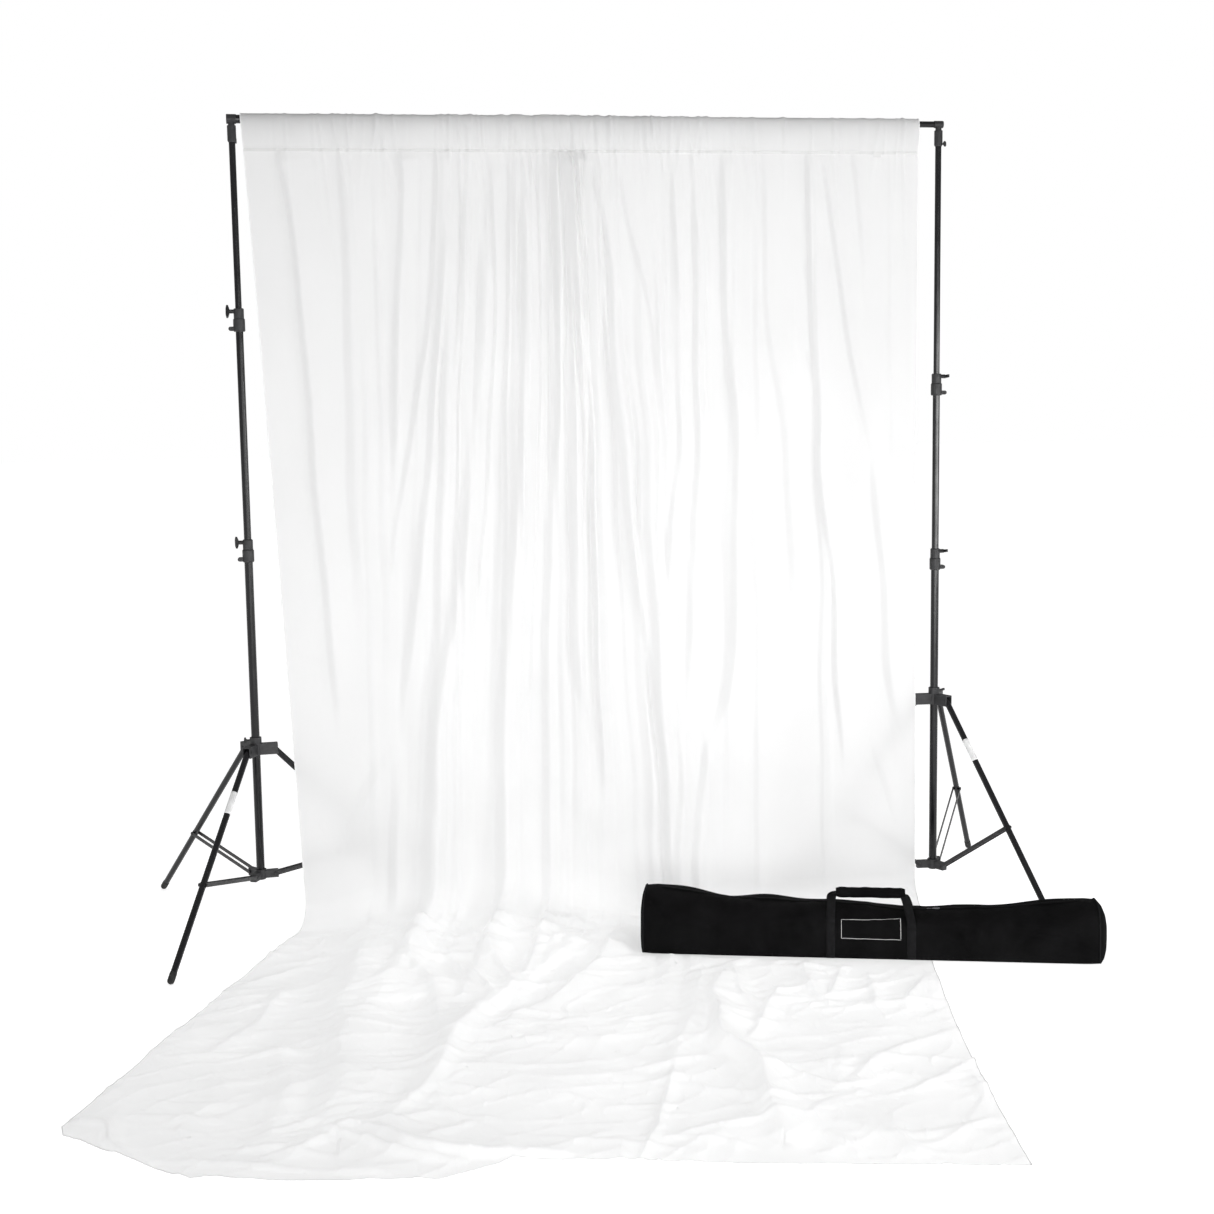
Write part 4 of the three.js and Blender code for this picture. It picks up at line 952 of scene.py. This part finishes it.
def tube_along(name, path, radius, material, sides=10, closed=False):
    """A round cord along a path of points."""
    path = np.asarray(path)
    count = len(path)
    rings = []
    for i in range(count):
        before = path[(i - 1) % count] if closed or i > 0 else path[i]
        after = path[(i + 1) % count] if closed or i < count - 1 else path[i]
        forward = Vector(after - before).normalized()
        side = forward.cross(Vector((0, 0, 1)) if abs(forward.z) < 0.9 else Vector((1, 0, 0))).normalized()
        up = side.cross(forward)
        rings.append([
            Vector(path[i]) + (side * math.cos(a) + up * math.sin(a)) * radius
            for a in (2 * math.pi * k / sides for k in range(sides))
        ])
    if closed:
        rings.append(rings[0])
    obj = grid_object(name, np.array(rings), material, wrap=True)
    if closed:
        return edited(obj, lambda edit: bmesh.ops.remove_doubles(edit, verts=edit.verts, dist=1e-6))
    return close_ends(obj, sides)


def build_bag_piping(material):
    """A cord sewn round the edge of each end panel."""
    angles = section_angles(72)
    for side, end in (("left", -1), ("right", 1)):
        path = bag_surface(np.full_like(angles, end * (BAG_LENGTH / 2 - 0.003)), angles, 0.0006)
        path[:, 2] = np.maximum(path[:, 2], PIPING_LOWEST)
        piping = tube_along(f"bag_piping_{side}", path, PIPING_RADIUS, material, closed=True)
        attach(piping, "bag")


def strap(name, centre_line, edge, material, thickness=WEB_THICKNESS):
    """A flat strap of webbing along a line of points. edge is the direction of its width at each."""
    centre_line, edge = np.asarray(centre_line), np.asarray(edge)
    forward = np.gradient(centre_line, axis=0)
    outward = np.cross(edge, forward)
    outward /= np.linalg.norm(outward, axis=1, keepdims=True)
    half, lift = edge * WEB_WIDTH / 2, outward * thickness / 2
    round_in = edge * thickness * 0.4
    rings = np.stack([
        centre_line - half + round_in + lift, centre_line + half - round_in + lift,
        centre_line + half, centre_line + half - round_in - lift,
        centre_line - half + round_in - lift, centre_line - half,
    ], axis=1)
    widths = np.array([0, WEB_WIDTH, WEB_WIDTH, WEB_WIDTH, 0, 0])
    uv = np.stack(np.broadcast_arrays(widths[None, :], lengths_along(centre_line)[:, None]), axis=-1)
    return close_ends(grid_object(name, rings, material, uv, wrap=True), 6)


def build_bands(material):
    """The two bands under the bag, from the handle's front ends round to its back ends."""
    for side, sign in (("left", -1), ("right", 1)):
        along = HANDLE_ALONG + sign * WEB_SPACING / 2
        angles = np.linspace(*BAND_TURN, 90)
        line = bag_surface(np.full_like(angles, along), angles, 0.0014)
        line[:, 2] = np.maximum(line[:, 2], BAND_LOWEST)
        band = strap(f"bag_webbing_{side}", line, np.tile(BAG_ALONG, (len(line), 1)), material)
        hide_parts(f"bag_band_{side}")
        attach(band, "bag")


def build_handle(web_material, wrap_material):
    """Two webbing loops, front and back, held together by a padded wrap."""
    count = 46
    turn = smooth_step(np.arange(count), 24, 42)[:, None]   # each web turns a quarter on its way up
    for side, sign in (("front", -1), ("back", 1)):
        for end_name, end in (("left", -1), ("right", 1)):
            along = HANDLE_ALONG + end * WEB_SPACING / 2
            angle = np.array(WEB_FOOT[sign])
            lift = 0.0034 + bag_wrinkle(np.array(along), angle)
            foot_across, foot_up = bag_section(bag_height(along), angle, lift)
            lean = HANDLE_LEAN[end]
            line = curve_through([
                (along, foot_across, foot_up - 0.022),
                (along, foot_across, foot_up),
                (along - end * lean * 0.2, foot_across * 0.72, foot_up + 0.022),
                (along - end * lean, sign * 0.014, GRIP_HEIGHT - 0.010),
                (along - end * (lean + 0.013), sign * 0.004, GRIP_HEIGHT - 0.001),
                (along - end * 0.060, sign * 0.0022, GRIP_HEIGHT),
            ], count)
            edge = BAG_ALONG * (1 - turn) - BAG_ACROSS * turn * sign
            edge /= np.linalg.norm(edge, axis=1, keepdims=True)
            web = strap(f"bag_handle_{side}_{end_name}", bag_place(*line.T), edge, web_material)
            if side == "front":
                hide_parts(f"bag_handle_web_{end_name}")
            low = tuple(bag_place(along, 0.0, foot_up - 0.004))
            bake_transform(web)
    build_grip(wrap_material)


def build_grip(material):
    """The padded wrap: a soft roll with pinched ends and the lap of its closing flap."""
    stations = np.linspace(-1, 1, 60)
    angles = np.linspace(0, 2 * math.pi, 56, endpoint=False)
    along, angle = np.meshgrid(stations, angles, indexing="ij")
    ends = 1 - GRIP_PINCH * smooth_step(np.abs(along), 0.88, 1.0)
    lap = GRIP_LAP * smooth_step(np.sin(angle * 0.5 + 0.6), 0.90, 0.96)
    pad = 0.0006 * ripple(along * 0.1, angle * 0.016, wavelength=0.045, seed=61)
    radius = GRIP_RADIUS * ends - 0.0016 + lap + pad
    up = GRIP_HEIGHT + radius * np.sin(angle) * 0.97
    points = bag_place(HANDLE_ALONG + along * GRIP_LENGTH / 2, radius * np.cos(angle), up)
    uv = np.stack([along * GRIP_LENGTH / 2, angle * GRIP_RADIUS], axis=-1)
    wrap = close_ends(grid_object("bag_handle_wrap", points, material, uv, wrap=True), len(angles))
    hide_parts("bag_grip")
    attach(wrap, "bag_grip")


def boxes_object(name, placements, size, material):
    """Many small boxes in one piece: centre, and the unit vectors of the box's length, width, height."""
    vertices, faces = [], []
    corners = [(x, y, z) for x in (-1, 1) for y in (-1, 1) for z in (-1, 1)]
    sides = ((0, 1, 3, 2), (4, 6, 7, 5), (0, 4, 5, 1), (2, 3, 7, 6), (0, 2, 6, 4), (1, 5, 7, 3))
    for centre, axes in placements:
        first = len(vertices)
        for corner in corners:
            steps = (Vector(axis) * sign * length / 2 for axis, sign, length in zip(axes, corner, size))
            vertices.append(Vector(centre) + sum(steps, Vector()))
        faces += [tuple(first + i for i in side) for side in sides]
    return new_object(name, vertices, faces, material, smooth=False)


def build_zip(tape_material, teeth_material):
    """The zip along the top: woven tape and two rows of teeth."""
    top = math.radians(90)
    reach = BAG_LENGTH * ZIP_REACH
    stations = np.linspace(-reach, reach, 220)
    line = bag_surface(stations, np.full_like(stations, top), TAPE_OFFSET)
    edge = np.tile(BAG_ACROSS, (len(line), 1))
    tape = strap("bag_zip_tape", line, edge, tape_material, TAPE_THICKNESS)
    teeth = []
    reach = BAG_LENGTH * (ZIP_REACH - 0.002)
    for i, along in enumerate(np.arange(-reach, reach, TOOTH_PITCH)):
        point = bag_surface(np.array(along), np.array(top), TOOTH_OFFSET)
        side = 1 if i % 2 else -1
        teeth.append((point + BAG_ACROSS * side * TOOTH_STAGGER, (BAG_ALONG, BAG_ACROSS, (0, 0, 1))))
    rows = boxes_object("bag_zip_teeth", teeth, TOOTH_SIZE, teeth_material)
    for piece, slot_name in ((tape, "bag_fabric"), (rows, "zip_metal")):
        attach(piece, "bag")


def build_patch(material, border):
    """A blank rectangular patch with a sewn border on the front panel."""
    along = np.linspace(*PATCH_ALONG, 48)
    grid_along, grid_up = np.meshgrid(along, np.linspace(*PATCH_UP, 20), indexing="ij")
    grid_angle = np.vectorize(front_angle)(grid_up / bag_height(grid_along))
    points = bag_surface(grid_along, grid_angle, PATCH_OFFSET)
    uv = np.stack([grid_along, grid_up], axis=-1)
    patch = grid_object("bag_patch", points, material, uv)
    patch.modifiers.new("thickness", "SOLIDIFY").thickness = PATCH_THICKNESS
    rim = np.concatenate([points[:, 0], points[-1, 1:], points[-2::-1, -1], points[0, -2:0:-1]])
    edge = tube_along("bag_patch_border", rim, PATCH_BORDER, border, sides=6, closed=True)
    for piece in (patch, edge):
        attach(piece, "bag")


# ---- stands and crossbar ---------------------------------------------------------------------------
def dress_cad(materials):
    """Gives each CAD piece that stays its material and smooth shading, and softened edges to the castings,
    knobs and struts.
    """
    by_slot = {part["node"]: part["material_slot"] for part in frame["record"]["subparts"]}
    for name, obj in frame["nodes"].items():
        slot_name = by_slot[name]
        obj.data.materials.clear()
        obj.data.materials.append(materials[slot_name])
        obj.data.shade_smooth()
        obj.data.set_sharp_from_angle(angle=CAD_CORNER)
        if slot_name in ("casting", "knob_plastic", "strut_paint"):
            bevel = obj.modifiers.new("soft_edges", "BEVEL")
            bevel.width = 0.0009 if slot_name != "strut_paint" else 0.0004
            bevel.segments = 2
            bevel.limit_method = "ANGLE"
            bevel.angle_limit = CAD_CORNER
            bevel.harden_normals = True


def build_labels(material):
    """A blank label wrapped on one leg of each stand."""
    for leg in ("left_leg_3", "right_leg_3"):
        top, bottom = leg_line(leg)
        direction = (bottom - top).normalized()
        side = direction.cross(Vector((0, 0, 1))).normalized()
        up = side.cross(direction)
        rings = []
        for along in np.linspace(*LABEL_ALONG, 10):
            centre = top + direction * along
            rings.append([
                centre + (side * math.cos(a) + up * math.sin(a)) * LABEL_RADIUS
                for a in np.linspace(0, 2 * math.pi, 40, endpoint=False)
            ])
        label = grid_object(f"{leg}_label", np.array(rings), material, wrap=True)
        label.modifiers.new("thickness", "SOLIDIFY").thickness = 0.0002
        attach(label, leg)


def leg_line(node):
    """Top and bottom centre points of a leg, from its mesh."""
    points = np.array([v.co for v in frame["nodes"][node].data.vertices])
    centre = points.mean(axis=0)
    direction = np.linalg.svd(points - centre, full_matrices=False)[2][0]
    direction *= -np.sign(direction[2])
    reach = (points - centre) @ direction
    return Vector(centre + direction * reach.min()), Vector(centre + direction * reach.max())


# ---- studio ----------------------------------------------------------------------------------------
def build_floor():
    """A pale floor that glows faintly, as the white surround does."""
    glow = {"Emission_Strength": FLOOR_GLOW, "Emission_Color": (1, 1, 1, 1)}
    s = Shader("studio_floor", (0.92, 0.92, 0.92), 0.9, **glow)
    corners = [(x * FLOOR_REACH, y * FLOOR_REACH, 0) for x, y in ((-1, -1), (1, -1), (1, 1), (-1, 1))]
    floor = new_object("studio_floor", corners, [(0, 1, 2, 3)], s.material)
    floor.location.z = -FLOOR_DROP


def area_light(name, offset, target, size, power, spread):
    """A round soft box: where it stands and points, its width, its watts and its beam's angle."""
    data = bpy.data.lights.new(name, "AREA")
    data.spread = math.radians(spread)
    data.shape = "DISK"
    data.size = size
    data.energy = power
    light = bpy.data.objects.new(name, data)
    light.location = KIT + Vector(offset)
    light.rotation_euler = (KIT + Vector(target) - light.location).to_track_quat("-Z", "Y").to_euler()
    bpy.context.scene.collection.objects.link(light)


def build_world():
    """A white surround. What the camera sees of it is brighter than the light it gives."""
    world = bpy.data.worlds.new("studio")
    world.use_nodes = True
    tree = world.node_tree
    seen = tree.nodes.new("ShaderNodeBackground")
    seen.inputs["Strength"].default_value = SURROUND_SEEN
    lighting = tree.nodes["Background"]
    lighting.inputs["Strength"].default_value = SURROUND_LIGHT
    for background in (seen, lighting):
        background.inputs["Color"].default_value = (1, 1, 1, 1)
    mix = tree.nodes.new("ShaderNodeMixShader")
    ray = tree.nodes.new("ShaderNodeLightPath")
    tree.links.new(ray.outputs["Is Camera Ray"], mix.inputs["Fac"])
    tree.links.new(lighting.outputs["Background"], mix.inputs[1])
    tree.links.new(seen.outputs["Background"], mix.inputs[2])
    tree.links.new(mix.outputs["Shader"], tree.nodes["World Output"].inputs["Surface"])
    bpy.context.scene.world = world


def build_studio():
    """The surround, three low soft boxes and the floor."""
    build_world()
    area_light("key_right", (3.8, -3.2, 1.3), target=(0.0, -0.3, 0.6), size=1.4, power=23, spread=100)
    area_light("front", (-0.2, -5.2, 1.05), target=(0.3, 0.0, 0.75), size=2.6, power=22, spread=62)
    area_light("fill_left", (-4.4, -3.6, 1.2), target=(0.0, -0.3, 0.7), size=2.4, power=9, spread=120)
    build_floor()
    bpy.context.scene.view_settings.view_transform = "Standard"


def build_camera():
    """The camera: turned right by its yaw, down by its pitch, then rolled about its line of sight."""
    forward = Vector((
        math.sin(CAMERA_YAW) * math.cos(CAMERA_PITCH),
        math.cos(CAMERA_YAW) * math.cos(CAMERA_PITCH),
        -math.sin(CAMERA_PITCH),
    ))
    level = Vector((math.cos(CAMERA_YAW), -math.sin(CAMERA_YAW), 0))
    above = level.cross(forward)
    right = level * math.cos(CAMERA_ROLL) + above * math.sin(CAMERA_ROLL)
    up = above * math.cos(CAMERA_ROLL) - level * math.sin(CAMERA_ROLL)
    data = bpy.data.cameras.new("camera")
    data.lens = FOCAL_MM
    data.sensor_width = SENSOR_MM
    camera = bpy.data.objects.new("camera", data)
    turned = Matrix((right, up, -forward)).transposed().to_4x4()
    camera.matrix_world = Matrix.Translation(KIT + CAMERA_OFFSET) @ turned
    bpy.context.scene.collection.objects.link(camera)
    bpy.context.scene.camera = camera


# ---- the scene -------------------------------------------------------------------------------------
build_camera()
build_studio()
cloth, thread_and_painted_shade, canvas, web, plastic = muslin_cloth(), seam_thread_and_painted_shade(), bag_canvas(), webbing(), knob_plastic()
dress_cad({
    "tube_paint": enamel(), "leg_paint": enamel(), "casting": casting(), "knob_plastic": plastic,
    "strut_paint": strut_steel(), "foot_rubber": rubber(), "muslin": cloth, "bag_fabric": canvas,
    "webbing": web, "zip_metal": bare_steel(),
})
build_labels(label_film())
build_muslin(cloth, muslin_cloth("muslin_hem", 0.82, light_through=0), thread_and_painted_shade)
build_bag_body(canvas)
build_bag_piping(web)
build_bands(web)
build_handle(web, canvas)
build_zip(canvas, web)
build_patch(canvas, patch_cloth())
